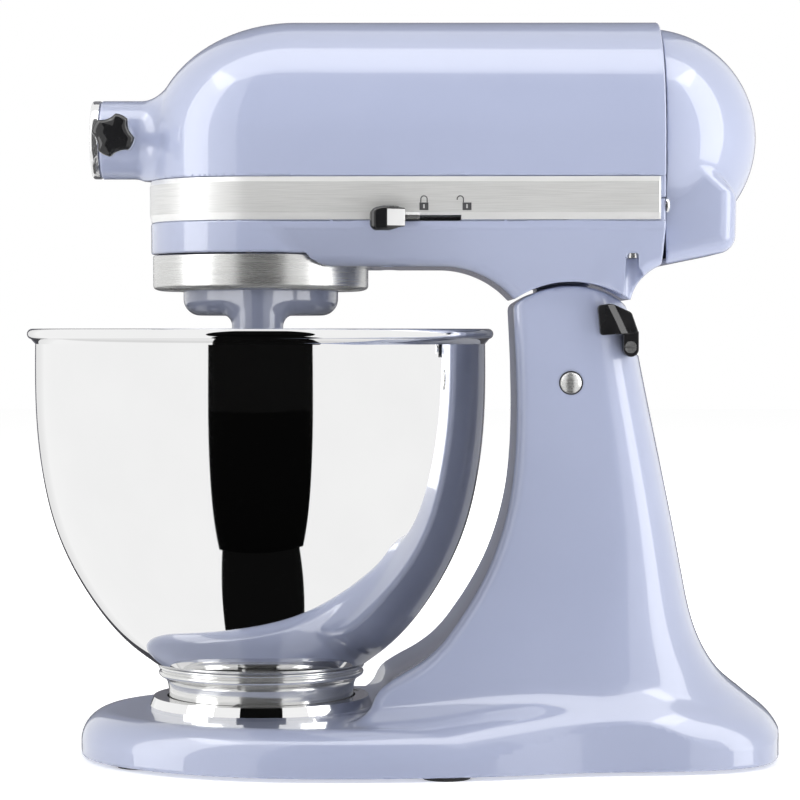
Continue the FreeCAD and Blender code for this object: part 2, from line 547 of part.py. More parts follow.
def upper_housing():
    body = crown_solid(0, SPLIT_Z)
    hub = cyl(HUB_R, 40, (HUB_FRONT_X, 0, HEAD_Z), (1, 0, 0))
    spigot = cyl(SPIGOT_R, SPIGOT_LENGTH + 1, (HUB_FRONT_X - SPIGOT_LENGTH, 0, HEAD_Z), (1, 0, 0))
    body = body.fuse(hub).fuse(spigot)
    flare = turned_x([(AXIS_X - 48, HUB_R - 0.1), (AXIS_X - 48, HUB_R + 5.5), (AXIS_X - 51.3, HUB_R + 2.2),
                      (AXIS_X - 54, HUB_R + 0.6), (AXIS_X - 58, HUB_R - 0.1)])
    body = body.fuse(flare.common(box(-140, -100, -40, 40, BAND_HIGH + 0.2, 340)))
    bulkhead = cyl(18.5, 18.0, (HUB_ROOT_X - 7, 0, HEAD_Z), (1, 0, 0))
    cavity = crown_solid(WALL, SPLIT_Z + 3, REAR_X - 4)
    cavity = cavity.fuse(plan_solid(BAND_SINK + WALL, SPLIT_Z - 1, SPLIT_Z + 14, REAR_X - 4))
    cavity = cavity.cut(bulkhead)
    body = body.cut(cavity).cut(rear_mouth(REAR_X - 5, REAR_X + 1))
    mouth_x = HUB_FRONT_X - SPIGOT_LENGTH
    body = body.cut(cyl(HUB_BORE_R, HUB_ROOT_X - mouth_x, (mouth_x, 0, HEAD_Z), (1, 0, 0)))
    body = body.cut(cyl(11.0, 20, (HUB_ROOT_X, 0, HEAD_Z), (1, 0, 0)))
    body = body.cut(band_seat(SPLIT_Z - 1, BAND_HIGH))
    thumb = cyl(6.5, 10, (KNOB_X, -27.0, HEAD_Z), (0, 1, 0)).cut(cyl(17, 40, (-150, 0, HEAD_Z), (1, 0, 0)))
    body = body.fuse(thumb).cut(cyl(3.0, 16, (KNOB_X, -30, HEAD_Z), (0, 1, 0)))
    save("upper_housing", body)


def trim_band():
    band = plan_solid(-BAND_PROUD, BAND_LOW + 0.1, BAND_HIGH - 0.1, 118.8)
    ring_edges = [e for e in band.Edges if e.BoundBox.ZMax - e.BoundBox.ZMin < 0.01 and e.BoundBox.XMin < 60
                  and e.BoundBox.XMax < 119.5 and abs(e.BoundBox.XMax - e.BoundBox.XMin) > 1]
    band = band.makeChamfer(0.45, ring_edges)
    band = band.cut(plan_solid(BAND_SINK - 0.05, BAND_LOW - 1, BAND_HIGH + 1, 125))
    band = band.cut(box(-6.6, 8 + LOCK_TRAVEL + 0.6, -60, -50, *LEVER_SLOT_Z))
    band = band.cut(box(67 - SPEED_TRAVEL - 0.6, 81.6, 50, 60, *LEVER_SLOT_Z))
    save("trim_band", band)
    screws = []
    for side in (-1, 1):
        head = cyl(3.6, 1.8, (REAR_X, side * BAND_SCREW_Y, BAND_SCREW_Z), (1, 0, 0))
        head = head.makeFillet(1.4, [e for e in head.Edges if e.BoundBox.XMin > REAR_X + 1.7])
        screws.append(head.fuse(cyl(1.6, 3.0, (REAR_X - 3.0, side * BAND_SCREW_Y, BAND_SCREW_Z), (1, 0, 0))))
    save("trim_band_screws", Part.makeCompound(screws))


def cover_body(inset, x_start):
    """A ball-shaped back with a boxy chin under it."""
    ball = Part.makeSphere(COVER_R - inset, V(COVER_X, 0, HEAD_Z + 0.3))
    back = CHIN_X - inset
    chin = side_profile([(x_start, 233.9 + inset), (137.8, 237.1 + inset), (back - 1.3, 241.0 + inset),
                         (back, 268), (back - 3.3, 280), (x_start, 290)], 43.5 - inset)
    rear_edges = [e for e in chin.Edges if e.BoundBox.XMin > back - 3 and e.BoundBox.ZMax < 269
                  and e.BoundBox.ZMax - e.BoundBox.ZMin > 20]
    chin = chin.makeFillet(16 - inset, rear_edges)
    foot = [e for e in chin.Edges if e.BoundBox.ZMax < 243 + inset and e.BoundBox.XMax > 136]
    if not inset:
        chin = chin.makeFillet(4.0, foot)
    return ball.fuse(chin).common(box(x_start, 200, -80, 80, 200, 400))


def rear_cover():
    cover = cover_body(0, REAR_X + 0.2).cut(cover_body(3.0, REAR_X - 1))
    boss = cyl(5.5, 30, (168 - 36, 0, 250), (1, 0, 0)).common(cover_body(0.5, REAR_X + 0.2))
    cover = cover.fuse(boss).cut(cyl(2.1, 60, (120, 0, 250), (1, 0, 0)))
    cover = cover.cut(cyl(4.2, 20, (CHIN_X - 3.3, 0, 250), (1, 0, 0)))
    for side in (-1, 1):
        cover = cover.cut(cyl(4.2, 3.0, (REAR_X, side * BAND_SCREW_Y, BAND_SCREW_Z), (1, 0, 0)))
    for i in range(5):
        cover = cover.cut(box(128, 150, -16 + 7 * i, -13 + 7 * i, 230, 242))
    save("rear_cover", cover)
    seat = CHIN_X - 3.3
    screw = cyl(3.8, 2.4, (seat, 0, 250), (1, 0, 0)).fuse(cyl(2.0, seat - 124, (124.2, 0, 250), (1, 0, 0)))
    save("rear_cover_screw", screw.cut(box(seat + 1.6, seat + 3, -3, 3, 249.6, 250.4)))


# ---------------------------------------------------------------- hub, levers
def hub_drive():
    shaft = cyl(8.0, 18, (HUB_ROOT_X, 0, HEAD_Z), (1, 0, 0))
    gear = bevel_gear(HUB_BEVEL_TEETH, BEVEL_MODULE, BEVEL_TEETH * BEVEL_MODULE / 2, HUB_FIRST, 0, 10)
    gear.rotate(V(0, 0, 0), V(0, 1, 0), 90)
    gear.translate(V(AXIS_X, 0, HEAD_Z))
    drive = gear.fuse(shaft).cut(box(HUB_ROOT_X - 1, HUB_ROOT_X + 16, -4.8, 4.8, HEAD_Z - 4.8, HEAD_Z + 4.8))
    save("hub_drive_gear", drive)
    save("hub_bush", tube(11.0, 8.05, 11, (HUB_ROOT_X, 0, HEAD_Z), (1, 0, 0)))


def hub_cap():
    x = HUB_FRONT_X
    cap = turned_x([(x - 4.5, 0), (x - 4.5, HUB_R - 1.0), (x - 3.9, HUB_R), (x - 0.3, HUB_R),
                    (x - 0.3, SPIGOT_R + 0.08), (x - 3.3, SPIGOT_R + 0.08), (x - 3.3, 0)])
    save("hub_cap", cap)


def hub_knob():
    disc = cyl(10.2, 12.0, (KNOB_X, -41.0, HEAD_Z), (0, 1, 0))
    reach = 12.6
    for a in (15, 105, 195, 285):
        at = (KNOB_X + reach * math.cos(math.radians(a)), -42, HEAD_Z + reach * math.sin(math.radians(a)))
        disc = disc.cut(cyl(5.0, 14, at, (0, 1, 0)))
    knob = disc.fuse(cyl(2.7, 12.5, (KNOB_X, -29.0, HEAD_Z), (0, 1, 0)))
    save("hub_knob", knob)


def lever(x, side, reach, name):
    """A side lever: a knob outside the band, and its arm and slide bar inside the head."""
    near, far = sorted((side * 56.2, side * 67.0))
    knob = box(x, x + 16.5, near, far, 249.0, 260.5)
    knob = knob.makeFillet(2.6, [e for e in knob.Edges if e.BoundBox.ZLength > 5])
    knob = knob.makeChamfer(1.3, [e for e in knob.Edges if e.BoundBox.ZLength < 0.1])
    arm_y = sorted((side * 42.0, side * 60.0))
    arm = box(x + 9, x + 23, arm_y[0], arm_y[1], 254.3, 256.1)
    bar_y = sorted((side * 38.6, side * 42.0))
    bar = box(x + 2, x + 2 + reach, bar_y[0], bar_y[1], 253.9, 258.2)
    knob = knob.cut(arm)
    save(name + "_knob", knob)
    save(name + "_slide", arm.fuse(bar))


# ---------------------------------------------------------------- motor and transmission
def worm_thread(x0, length, root, tip, lead, thick):
    """One start of a worm's thread, wound about the motor axis."""
    helix = Part.makeHelix(lead, length, root - 0.4)
    top = tip - root + 0.4
    r0 = root - 0.4
    wide, narrow = thick * 0.7, thick * 0.4
    profile = Part.makePolygon([V(r0, 0, -wide), V(r0 + top, 0, -narrow), V(r0 + top, 0, narrow),
                                V(r0, 0, wide), V(r0, 0, -wide)])
    thread = Part.Wire(helix.Edges).makePipeShell([profile], True, True)
    thread.rotate(V(0, 0, 0), V(0, 1, 0), 90)
    thread.translate(V(x0, 0, HEAD_Z))
    return thread


def motor_shaft():
    shaft = cyl(4.0, 162, (-42, 0, HEAD_Z), (1, 0, 0))
    shaft = shaft.fuse(cyl(5.4, 30, (WHEEL_X - 15, 0, HEAD_Z), (1, 0, 0)))
    thread = worm_thread(WHEEL_X - 12, 24, 5.4, 8.2, WORM_LEAD, 1.3)
    for i in range(WORM_STARTS):
        start = thread.copy()
        start.rotate(V(0, 0, HEAD_Z), V(1, 0, 0), WORM_FIRST + 360 * i / WORM_STARTS)
        shaft = shaft.fuse(start)
    save("motor_shaft", shaft)


def armature_core():
    core = tube(24.0, 4.0, 46, (25, 0, HEAD_Z), (1, 0, 0))
    for i in range(12):
        slot = box(24, 72, -1.4, 1.4, HEAD_Z + 13, HEAD_Z + 30)
        slot.rotate(V(0, 0, HEAD_Z), V(1, 0, 0), 30 * i)
        core = core.cut(slot)
    save("armature_core", core)
    ends = [tube(20.5, 4.0, 8, (x, 0, HEAD_Z), (1, 0, 0)) for x in (17, 71)]
    save("armature_windings", Part.makeCompound(ends))


def commutator():
    ring = tube(11.5, 4.0, 16, (84, 0, HEAD_Z), (1, 0, 0))
    for i in range(18):
        slot = box(83, 101, -0.3, 0.3, HEAD_Z + 10.6, HEAD_Z + 13)
        slot.rotate(V(0, 0, HEAD_Z), V(1, 0, 0), 20 * i)
        ring = ring.cut(slot)
    save("commutator", ring)


def cooling_fan():
    fan = tube(9, 4.0, 8, (3, 0, HEAD_Z), (1, 0, 0)).fuse(tube(30, 8, 1.2, (9.8, 0, HEAD_Z), (1, 0, 0)))
    for i in range(10):
        blade = box(3, 10, -0.6, 0.6, HEAD_Z + 8.5, HEAD_Z + 29)
        blade.rotate(V(0, 0, HEAD_Z), V(1, 0, 0), 36 * i)
        fan = fan.fuse(blade)
    save("cooling_fan", fan)


def motor_bearings():
    save("bearing_rear", tube(8.0, 4.05, 7, (110, 0, HEAD_Z), (1, 0, 0)))
    save("bearing_front", tube(7.5, 4.05, 6, (-42, 0, HEAD_Z), (1, 0, 0)))


def front_bearing_bracket():
    inside = crown_solid(WALL, SPLIT_Z)
    web = box(-42, -36, -11, 11, HEAD_Z - 11, 345).common(inside)
    web = web.cut(cyl(7.5, 10, (-44, 0, HEAD_Z), (1, 0, 0)))
    save("front_bearing_bracket", web)


def stator_core():
    poles = tube(46.0, 38, 46, (25, 0, HEAD_Z), (1, 0, 0))
    for a in (90, 270):
        pole = cyl(39, 46, (25, 0, HEAD_Z), (1, 0, 0)).cut(cyl(25.0, 46, (25, 0, HEAD_Z), (1, 0, 0)))
        pole = pole.common(box(20, 80, -21, 21, HEAD_Z + 12, HEAD_Z + 45))
        pole.rotate(V(0, 0, HEAD_Z), V(1, 0, 0), a - 90)
        poles = poles.fuse(pole)
    save("stator_core", poles)


def field_coils():
    coils = []
    for x0, x1 in ((18, 25), (71, 78)):
        for a in (0, 180):
            coil = tube(37, 27, x1 - x0, (x0, 0, HEAD_Z), (1, 0, 0)).common(
                box(x0, x1, -26, 26, HEAD_Z + 10, HEAD_Z + 40))
            coil.rotate(V(0, 0, HEAD_Z), V(1, 0, 0), a)
            coils.append(coil)
    save("field_coils", Part.makeCompound(coils))


def rear_bearing_bracket():
    rear = box(110, 114, -36, 36, HEAD_Z - 12, HEAD_Z + 12).fuse(cyl(11, 7, (110, 0, HEAD_Z), (1, 0, 0)))
    rear = rear.fuse(box(110, 114, -49, 49, HEAD_Z - 6, HEAD_Z + 6))
    rear = rear.cut(cyl(8.0, 12, (108, 0, HEAD_Z), (1, 0, 0)))
    save("rear_bearing_bracket", rear)


def brush_gear():
    holders, brushes = [], []
    for side in (-1, 1):
        y = sorted((side * 16, side * 30))
        cell = box(87, 97, y[0], y[1], HEAD_Z - 5, HEAD_Z + 5)
        cell = cell.cut(box(89, 95, y[0], y[1], HEAD_Z - 3, HEAD_Z + 3))
        foot_y = sorted((side * 30, side * 33))
        holders.append(cell.fuse(box(87, 110, foot_y[0], foot_y[1], HEAD_Z - 5, HEAD_Z + 5)))
        b = sorted((side * 11.9, side * 26))
        brushes.append(box(89, 95, b[0], b[1], HEAD_Z - 3, HEAD_Z + 3))
    save("brush_holders", Part.makeCompound(holders))
    save("carbon_brushes", Part.makeCompound(brushes))


def speed_control():
    board = box(124, 126, -30, 30, 262, 278).fuse(box(126, 134, -14, 14, 264, 276))
    save("speed_control_board", board)
    save("board_carrier", box(121.6, 124, -26, 26, 263, 277))


def worm_wheel():
    ends = []
    for z in (-WHEEL_HALF, WHEEL_HALF):
        turn = WHEEL_FIRST + WHEEL_TWIST * z / WHEEL_HALF
        row = tooth_wire(WHEEL_TEETH, 2 * WHEEL_R / WHEEL_TEETH, z, turn, thick=0.36, high=0.8, deep=1.0)
        ends.append(row)
    gear = Part.makeLoft(ends, True, True)
    gear = gear.cut(cyl(4.0, 10, (0, 0, -5)))
    gear.translate(V(WHEEL_X, WHEEL_Y, HEAD_Z))
    save("worm_wheel", gear)


def wheel_shaft_parts():
    tooth = math.degrees(WHEEL_ANGLE) + 180 + 180 / STEP_TEETH
    step = spur_gear(STEP_TEETH, GEAR_MODULE, 9, tooth, 4.0)
    step.translate(V(WHEEL_X, WHEEL_Y, 261.5))
    save("step_pinion", step)
    save("wheel_shaft", cyl(4.0, 54, (WHEEL_X, WHEEL_Y, 252.0)))
    low = tube(6.0, 4.05, 6, (WHEEL_X, WHEEL_Y, 250.8))
    high = tube(6.0, 4.05, 5, (WHEEL_X, WHEEL_Y, 301.0))
    save("wheel_bushes", Part.makeCompound([low, high]))
    top = box(WHEEL_X - 8, WHEEL_X + 8, WHEEL_Y - 7, WHEEL_Y + 10, 301, 345)
    top = top.common(crown_solid(WALL, SPLIT_Z))
    save("wheel_bracket", top.cut(cyl(6.0, 5.0, (WHEEL_X, WHEEL_Y, 301))))


def ring_gear():
    teeth = tooth_wire(RING_TEETH, GEAR_MODULE, 0, -90 + 180 / RING_TEETH, internal=True)
    space = Part.Face(teeth).extrude(V(0, 0, 8.5)).cut(cyl(37, 8.5, (0, 0, 0)))
    ring = tube(46.8, 37, 8.5, (0, 0, 0)).cut(space)
    ring.translate(V(AXIS_X, 0, 241.5))
    save("ring_gear", ring)
    save("centre_shaft_bush", tube(9.0, SHAFT_R + 0.05, 13, (AXIS_X, 0, 243.0)))


base_and_column()
stand_fittings()
cord_clamp()
clamp_plate()
bowl_shell()
bowl_foot()
planetary_carrier()
drip_ring()
centre_shaft_parts()
beater_shaft_parts()
flat_beater()
lower_housing()
housing_screws()
upper_housing()
trim_band()
rear_cover()
hub_drive()
hub_cap()
hub_knob()
lever(-15.0, -1, 40, "lock_lever")
lever(58.0, 1, 24, "speed_lever")
motor_shaft()
armature_core()
commutator()
cooling_fan()
motor_bearings()
front_bearing_bracket()
stator_core()
field_coils()
rear_bearing_bracket()
brush_gear()
speed_control()
worm_wheel()
wheel_shaft_parts()
ring_gear()
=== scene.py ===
"""Looks of the tilt-head stand mixer, built round its CAD parts. Millimetres until a mesh is made."""
import json
import math

import bpy
import numpy as np
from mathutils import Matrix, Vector

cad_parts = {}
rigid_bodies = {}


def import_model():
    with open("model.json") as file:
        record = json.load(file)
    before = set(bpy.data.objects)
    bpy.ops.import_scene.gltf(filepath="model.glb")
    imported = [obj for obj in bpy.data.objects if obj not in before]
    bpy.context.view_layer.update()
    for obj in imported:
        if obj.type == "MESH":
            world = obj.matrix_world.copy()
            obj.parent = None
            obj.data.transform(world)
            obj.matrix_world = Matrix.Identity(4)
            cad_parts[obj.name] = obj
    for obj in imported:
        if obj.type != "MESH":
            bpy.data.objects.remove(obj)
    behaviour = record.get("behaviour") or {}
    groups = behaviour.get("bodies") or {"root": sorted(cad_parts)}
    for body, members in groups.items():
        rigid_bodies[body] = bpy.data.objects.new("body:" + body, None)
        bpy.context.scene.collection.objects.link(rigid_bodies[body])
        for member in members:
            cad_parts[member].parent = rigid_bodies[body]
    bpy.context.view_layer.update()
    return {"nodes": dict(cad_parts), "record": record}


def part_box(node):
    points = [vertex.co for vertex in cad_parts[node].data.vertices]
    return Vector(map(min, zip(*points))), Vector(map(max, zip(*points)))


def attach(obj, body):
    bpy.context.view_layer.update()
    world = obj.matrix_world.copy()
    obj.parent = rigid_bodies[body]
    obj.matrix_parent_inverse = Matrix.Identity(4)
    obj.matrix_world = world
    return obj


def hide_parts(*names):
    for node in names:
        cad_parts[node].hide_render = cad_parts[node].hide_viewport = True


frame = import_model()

# ---------------------------------------------------------------- dimensions, as in the CAD
AXIS_X = -68.0                  # vertical axis of bowl and planetary
HEAD_Z = 294.4                  # axis of motor and hub
FRONT_R = 52.3
REAR_X = 121.4
REAR_HALF = 55.0
CREST_X = -51.0
BAND_LOW, BAND_HIGH = 254.4, 274.4
SPLIT_Z = 264.4
BAND_SINK, BAND_PROUD = 1.4, 0.6
WALL = 3.4
PIVOT_X, PIVOT_Z = 78.3, 179.0
CROWN_R = 45.1
SADDLE_R = 46.9
PLATEAU_Z = 22.5
FOOT_GAP = 1.6
RIM_Z = 203.3
BOWL_R = 111.4
HUB_R, HUB_BORE_R = 18.7, 15.9
HUB_FRONT_X = -143.8
SPIGOT_R = 17.4
KNOB_X = -134.8
KNOB_R = 10.2
SCALLOP_AT, SCALLOP_R = 17.0, 9.0    # finger scallops of the hub knob
BEATER_Y = -30.0                # vertical axis of the beater at rest
SHAFT_HOLE_R = 6.3
SLOT_LOW, SLOT_HIGH = 253.9, 256.7
TAPER = 0.29                    # the head's sides draw in this much per millimetre below the band
HEAD_TOP = 1000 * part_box("upper_housing")[1].z
SIDE_ANGLE = math.atan((REAR_HALF - FRONT_R) / (REAR_X - AXIS_X))
COARSE = 1.0


# ---------------------------------------------------------------- fields: negative inside a shape
def both(a, b, r=0.7):
    """The part that is in a and in b, with its new edges rounded to r."""
    return np.minimum(np.maximum(a, b), -r) + np.hypot(np.maximum(a + r, 0), np.maximum(b + r, 0))


def either(a, b, r=0.7):
    """a and b joined, with a hollow fillet of radius r."""
    return np.maximum(np.minimum(a, b), r) - np.hypot(np.maximum(r - a, 0), np.maximum(r - b, 0))


def without(a, b, r=0.7):
    """a with b cut out of it."""
    return both(a, -b, r)


def block(x, y, z, x0, x1, y0, y1, z0, z1):
    across = np.maximum(np.maximum(x0 - x, x - x1), np.maximum(y0 - y, y - y1))
    return np.maximum(across, np.maximum(z0 - z, z - z1))


def rod(u, v, cu, cv, radius):
    return np.hypot(u - cu, v - cv) - radius


def evened(level, x, y, z, e=0.4):
    """A level function divided by its own steepness."""
    steep = np.square(level(x + e, y, z) - level(x - e, y, z))
    steep = steep + np.square(level(x, y + e, z) - level(x, y - e, z))
    steep = steep + np.square(level(x, y, z + e) - level(x, y, z - e))
    return level(x, y, z) * (2 * e) / np.sqrt(np.maximum(steep, 1e-6))


class Curve:
    """A natural cubic spline through (at, value) points, straight beyond its ends."""

    def __init__(self, at, value, period=None):
        at, value = np.asarray(at, float), np.asarray(value, float)
        self.period = period
        if period:
            at = np.concatenate([at[-4:] - period, at, at[:4] + period])
            value = np.concatenate([value[-4:], value, value[:4]])
        n = len(at)
        gap = np.diff(at)
        left = np.eye(n)
        right = np.zeros(n)
        for i in range(1, n - 1):
            left[i, i - 1:i + 2] = gap[i - 1], 2 * (gap[i - 1] + gap[i]), gap[i]
            right[i] = 6 * ((value[i + 1] - value[i]) / gap[i] - (value[i] - value[i - 1]) / gap[i - 1])
        self.at, self.value, self.gap, self.bend = at, value, gap, np.linalg.solve(left, right)

    def __call__(self, t):
        t = np.asarray(t, float)
        if self.period:
            t = np.mod(t + self.period / 2, self.period) - self.period / 2
        t = np.clip(t, self.at[0], self.at[-1])
        i = np.clip(np.searchsorted(self.at, t) - 1, 0, len(self.gap) - 1)
        g = self.gap[i]
        a, b = (self.at[i + 1] - t) / g, (t - self.at[i]) / g
        curve = (a ** 3 - a) * self.bend[i] + (b ** 3 - b) * self.bend[i + 1]
        return a * self.value[i] + b * self.value[i + 1] + curve * g * g / 6


def smooth_step(t):
    t = np.clip(t, 0, 1)
    return t * t * (3 - 2 * t)


# ---------------------------------------------------------------- skin of a field
CORNERS = [(i, j, k) for i in (0, 1) for j in (0, 1) for k in (0, 1)]


def gradient(field, p, e=0.03):
    parts = []
    for axis in range(3):
        step = np.zeros(3)
        step[axis] = e
        ahead, behind = p + step, p - step
        parts.append((field(*ahead.T) - field(*behind.T)) / (2 * e))
    return np.stack(parts, 1)


def skin(field, low, high, step):
    """Points, four-sided faces and normals of the surface where field is zero."""
    step *= COARSE
    axes = [np.arange(a - 2 * step, b + 3 * step, step) for a, b in zip(low, high)]
    grid = field(*np.meshgrid(*axes, indexing="ij", sparse=True))
    inside = grid < 0
    shape = [n - 1 for n in grid.shape]
    window = [tuple(slice(c[a], c[a] + shape[a]) for a in range(3)) for c in CORNERS]
    count = sum(inside[w].astype(np.int8) for w in window)
    cells = np.argwhere((count > 0) & (count < 8))
    number = np.full(shape, -1, np.int64)
    number[tuple(cells.T)] = np.arange(len(cells))
    total, hits = np.zeros((len(cells), 3)), np.zeros(len(cells))
    for a in CORNERS:
        for axis in range(3):
            if a[axis]:
                continue
            b = tuple(1 if i == axis else c for i, c in enumerate(a))
            va, vb = grid[tuple((cells + a).T)], grid[tuple((cells + b).T)]
            crossed = (va < 0) != (vb < 0)
            share = np.zeros(len(cells))
            share[crossed] = va[crossed] / (va[crossed] - vb[crossed])
            at = np.array(a, float) + np.outer(share, np.eye(3)[axis])
            total[crossed] += at[crossed]
            hits[crossed] += 1
    points = (cells + total / hits[:, None]) * step + [a[0] for a in axes]
    faces = []
    for axis in range(3):
        u, v = np.eye(3, dtype=int)[(axis + 1) % 3], np.eye(3, dtype=int)[(axis + 2) % 3]
        first = inside[tuple(slice(0, -1) if i == axis else slice(None) for i in range(3))]
        second = inside[tuple(slice(1, None) if i == axis else slice(None) for i in range(3))]
        edges = np.argwhere(first != second)
        outward = first[tuple(edges.T)]
        ring = [number[tuple((edges - shift).T)] for shift in (0 * u, u, u + v, v)]
        quads = np.stack(ring, 1)
        quads[~outward] = quads[~outward][:, ::-1]
        faces.append(quads)
    for _ in range(3):
        slope = gradient(field, points)
        move = -field(*points.T)[:, None] * slope / np.maximum((slope ** 2).sum(1), 0.05)[:, None]
        size = np.linalg.norm(move, axis=1, keepdims=True)
        points += move * np.minimum(1, 0.5 * step / np.maximum(size, 1e-9))
    normals = gradient(field, points)
    normals = normals / np.maximum(np.linalg.norm(normals, axis=1, keepdims=True), 1e-9)
    return points, np.concatenate(faces), normals


# ---------------------------------------------------------------- pieces
def piece(name, points, faces, looks, body, stands_for=(), normals=None, crease=38):
    """A mesh from points in millimetres, smooth but for edges sharper than crease degrees."""
    mesh = bpy.data.meshes.new(name)
    mesh.from_pydata((np.asarray(points, float) * 0.001).tolist(), [], [list(map(int, f)) for f in faces])
    mesh.update(calc_edges=True)
    mesh.shade_smooth()
    if normals is None:
        mesh.set_sharp_from_angle(angle=math.radians(crease))
    else:
        mesh.validate()
        mesh.normals_split_custom_set_from_vertices([tuple(n) for n in normals.tolist()])
    obj = bpy.data.objects.new(name, mesh)
    bpy.context.scene.collection.objects.link(obj)
    for one in looks if isinstance(looks, list) else [looks]:
        mesh.materials.append(one)
    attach(obj, body)
    if stands_for:
        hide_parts(*stands_for)
    return obj


def cast(name, field, low, high, step, looks, body, stands_for):
    points, faces, normals = skin(field, low, high, step)
    return piece(name, points, faces, looks, body, stands_for, normals)


def eased(corners, radius, steps=5):
    """A closed line of (a, b) corners with each corner turned into a short curve."""
    pts = [np.array(c, float) for c in corners]
    out = []
    for i, p in enumerate(pts):
        a, b = pts[i - 1], pts[(i + 1) % len(pts)]
        la, lb = np.linalg.norm(a - p), np.linalg.norm(b - p)
        cut = min(radius, 0.45 * la, 0.45 * lb)
        s, e = p + (a - p) / la * cut, p + (b - p) / lb * cut
        out += [(1 - t) ** 2 * s + 2 * t * (1 - t) * p + t * t * e for t in np.linspace(0, 1, steps)]
    return out


def swept(sections):
    """Faces between closed sections that follow one another, with flat ends."""
    count, size = len(sections), len(sections[0])
    points = [p for s in sections for p in s]
    faces = [(i * size + j, i * size + (j + 1) % size, (i + 1) * size + (j + 1) % size, (i + 1) * size + j)
             for i in range(count - 1) for j in range(size)]
    faces.append(list(range(size))[::-1])
    faces.append([(count - 1) * size + j for j in range(size)])
    return points, faces


def turned(profile, place, segments):
    """A closed (radius, height) profile turned about an axis; place gives the point for r, angle and h."""
    points, faces, size = [], [], len(profile)
    for i in range(segments):
        a = 2 * math.pi * i / segments
        points += [place(r, a, h) for r, h in profile]
    for i in range(segments):
        k = (i + 1) % segments
        faces += [(i * size + j, k * size + j, k * size + (j + 1) % size, i * size + (j + 1) % size)
                  for j in range(size)]
    return points, faces


def about_z(x):
    return lambda r, a, h: (x + r * math.cos(a), r * math.sin(a), h)


def about_x(y, z):
    return lambda r, a, h: (h, y - r * math.sin(a), z + r * math.cos(a))


def about_y(x, z):
    return lambda r, a, h: (x + r * math.cos(a), h, z - r * math.sin(a))


# ---------------------------------------------------------------- materials
def look(name, low, high, scale, metal=0.0, rough=0.3, vary=0.0, stretch=(1, 1, 1), bump=0.0, coat=0.0,
         edge=1.0):
    """A finish whose colour runs between low and high over a noise, darker by edge where it turns away from
    the view: a painted shade.
    """
    material = bpy.data.materials.new(name)
    material.use_nodes = True
    nodes, links = material.node_tree.nodes, material.node_tree.links
    shader = nodes["Principled BSDF"]
    place = nodes.new("ShaderNodeTexCoord")
    mapping = nodes.new("ShaderNodeMapping")
    mapping.inputs["Scale"].default_value = stretch
    noise = nodes.new("ShaderNodeTexNoise")
    noise.inputs["Scale"].default_value = scale
    noise.inputs["Detail"].default_value = 4
    ramp = nodes.new("ShaderNodeValToRGB")
    ramp.color_ramp.elements[0].position, ramp.color_ramp.elements[1].position = 0.3, 0.7
    ramp.color_ramp.elements[0].color = (*low, 1)
    ramp.color_ramp.elements[1].color = (*high, 1)
    links.new(place.outputs["Object"], mapping.inputs["Vector"])
    links.new(mapping.outputs["Vector"], noise.inputs["Vector"])
    links.new(noise.outputs["Fac"], ramp.inputs["Fac"])
    links.new(ramp.outputs["Color"], shader.inputs["Base Color"])
    # painted shade: the base colour is multiplied down towards edge at grazing angles
    if edge < 1:
        turn = nodes.new("ShaderNodeLayerWeight")
        turn.inputs["Blend"].default_value = 0.5
        rim_level = nodes.new("ShaderNodeMapRange")
        rim_level.inputs["From Min"].default_value, rim_level.inputs["From Max"].default_value = 0.72, 1.0
        rim_level.inputs["To Min"].default_value, rim_level.inputs["To Max"].default_value = 1.0, edge
        shade = nodes.new("ShaderNodeMix")
        shade.data_type, shade.blend_type = "RGBA", "MULTIPLY"
        shade.inputs["Factor"].default_value = 1.0
        links.new(turn.outputs["Facing"], rim_level.inputs["Value"])
        links.new(ramp.outputs["Color"], shade.inputs[6])
        links.new(rim_level.outputs["Result"], shade.inputs[7])
        links.new(shade.outputs[2], shader.inputs["Base Color"])
    shader.inputs["Metallic"].default_value = metal
    shader.inputs["Roughness"].default_value = rough
    shader.inputs["Coat Weight"].default_value = coat
    shader.inputs["Coat Roughness"].default_value = 0.03
    shader.inputs["Coat IOR"].default_value = 1.6
    if vary:
        spread = nodes.new("ShaderNodeMapRange")
        spread.inputs["From Min"].default_value, spread.inputs["From Max"].default_value = 0.3, 0.7
        spread.inputs["To Min"].default_value = rough - vary
        spread.inputs["To Max"].default_value = rough + vary
        links.new(noise.outputs["Fac"], spread.inputs["Value"])
        links.new(spread.outputs["Result"], shader.inputs["Roughness"])
    if bump:
        relief = nodes.new("ShaderNodeBump")
        relief.inputs["Strength"].default_value = bump
        relief.inputs["Distance"].default_value = 0.0002
        links.new(noise.outputs["Fac"], relief.inputs["Height"])
        links.new(relief.outputs["Normal"], shader.inputs["Normal"])
    return material


ENAMEL = look("enamel", (0.395, 0.436, 0.600), (0.415, 0.456, 0.620), 14, rough=0.32, vary=0.02, coat=1.0)
BAND = look("brushed_band", (0.63, 0.63, 0.62), (0.75, 0.75, 0.74), 60, 0.35, 0.36, 0.06, (1, 1, 60), 0.08)
# the band's bevels and rear end take a lighter copy of its brushed metal: a painted highlight along its edges
BEVEL = look("band_bevel_highlight", (0.86, 0.86, 0.85), (0.92, 0.92, 0.91), 40, 0.35, 0.28, 0.0, (1, 1, 8))
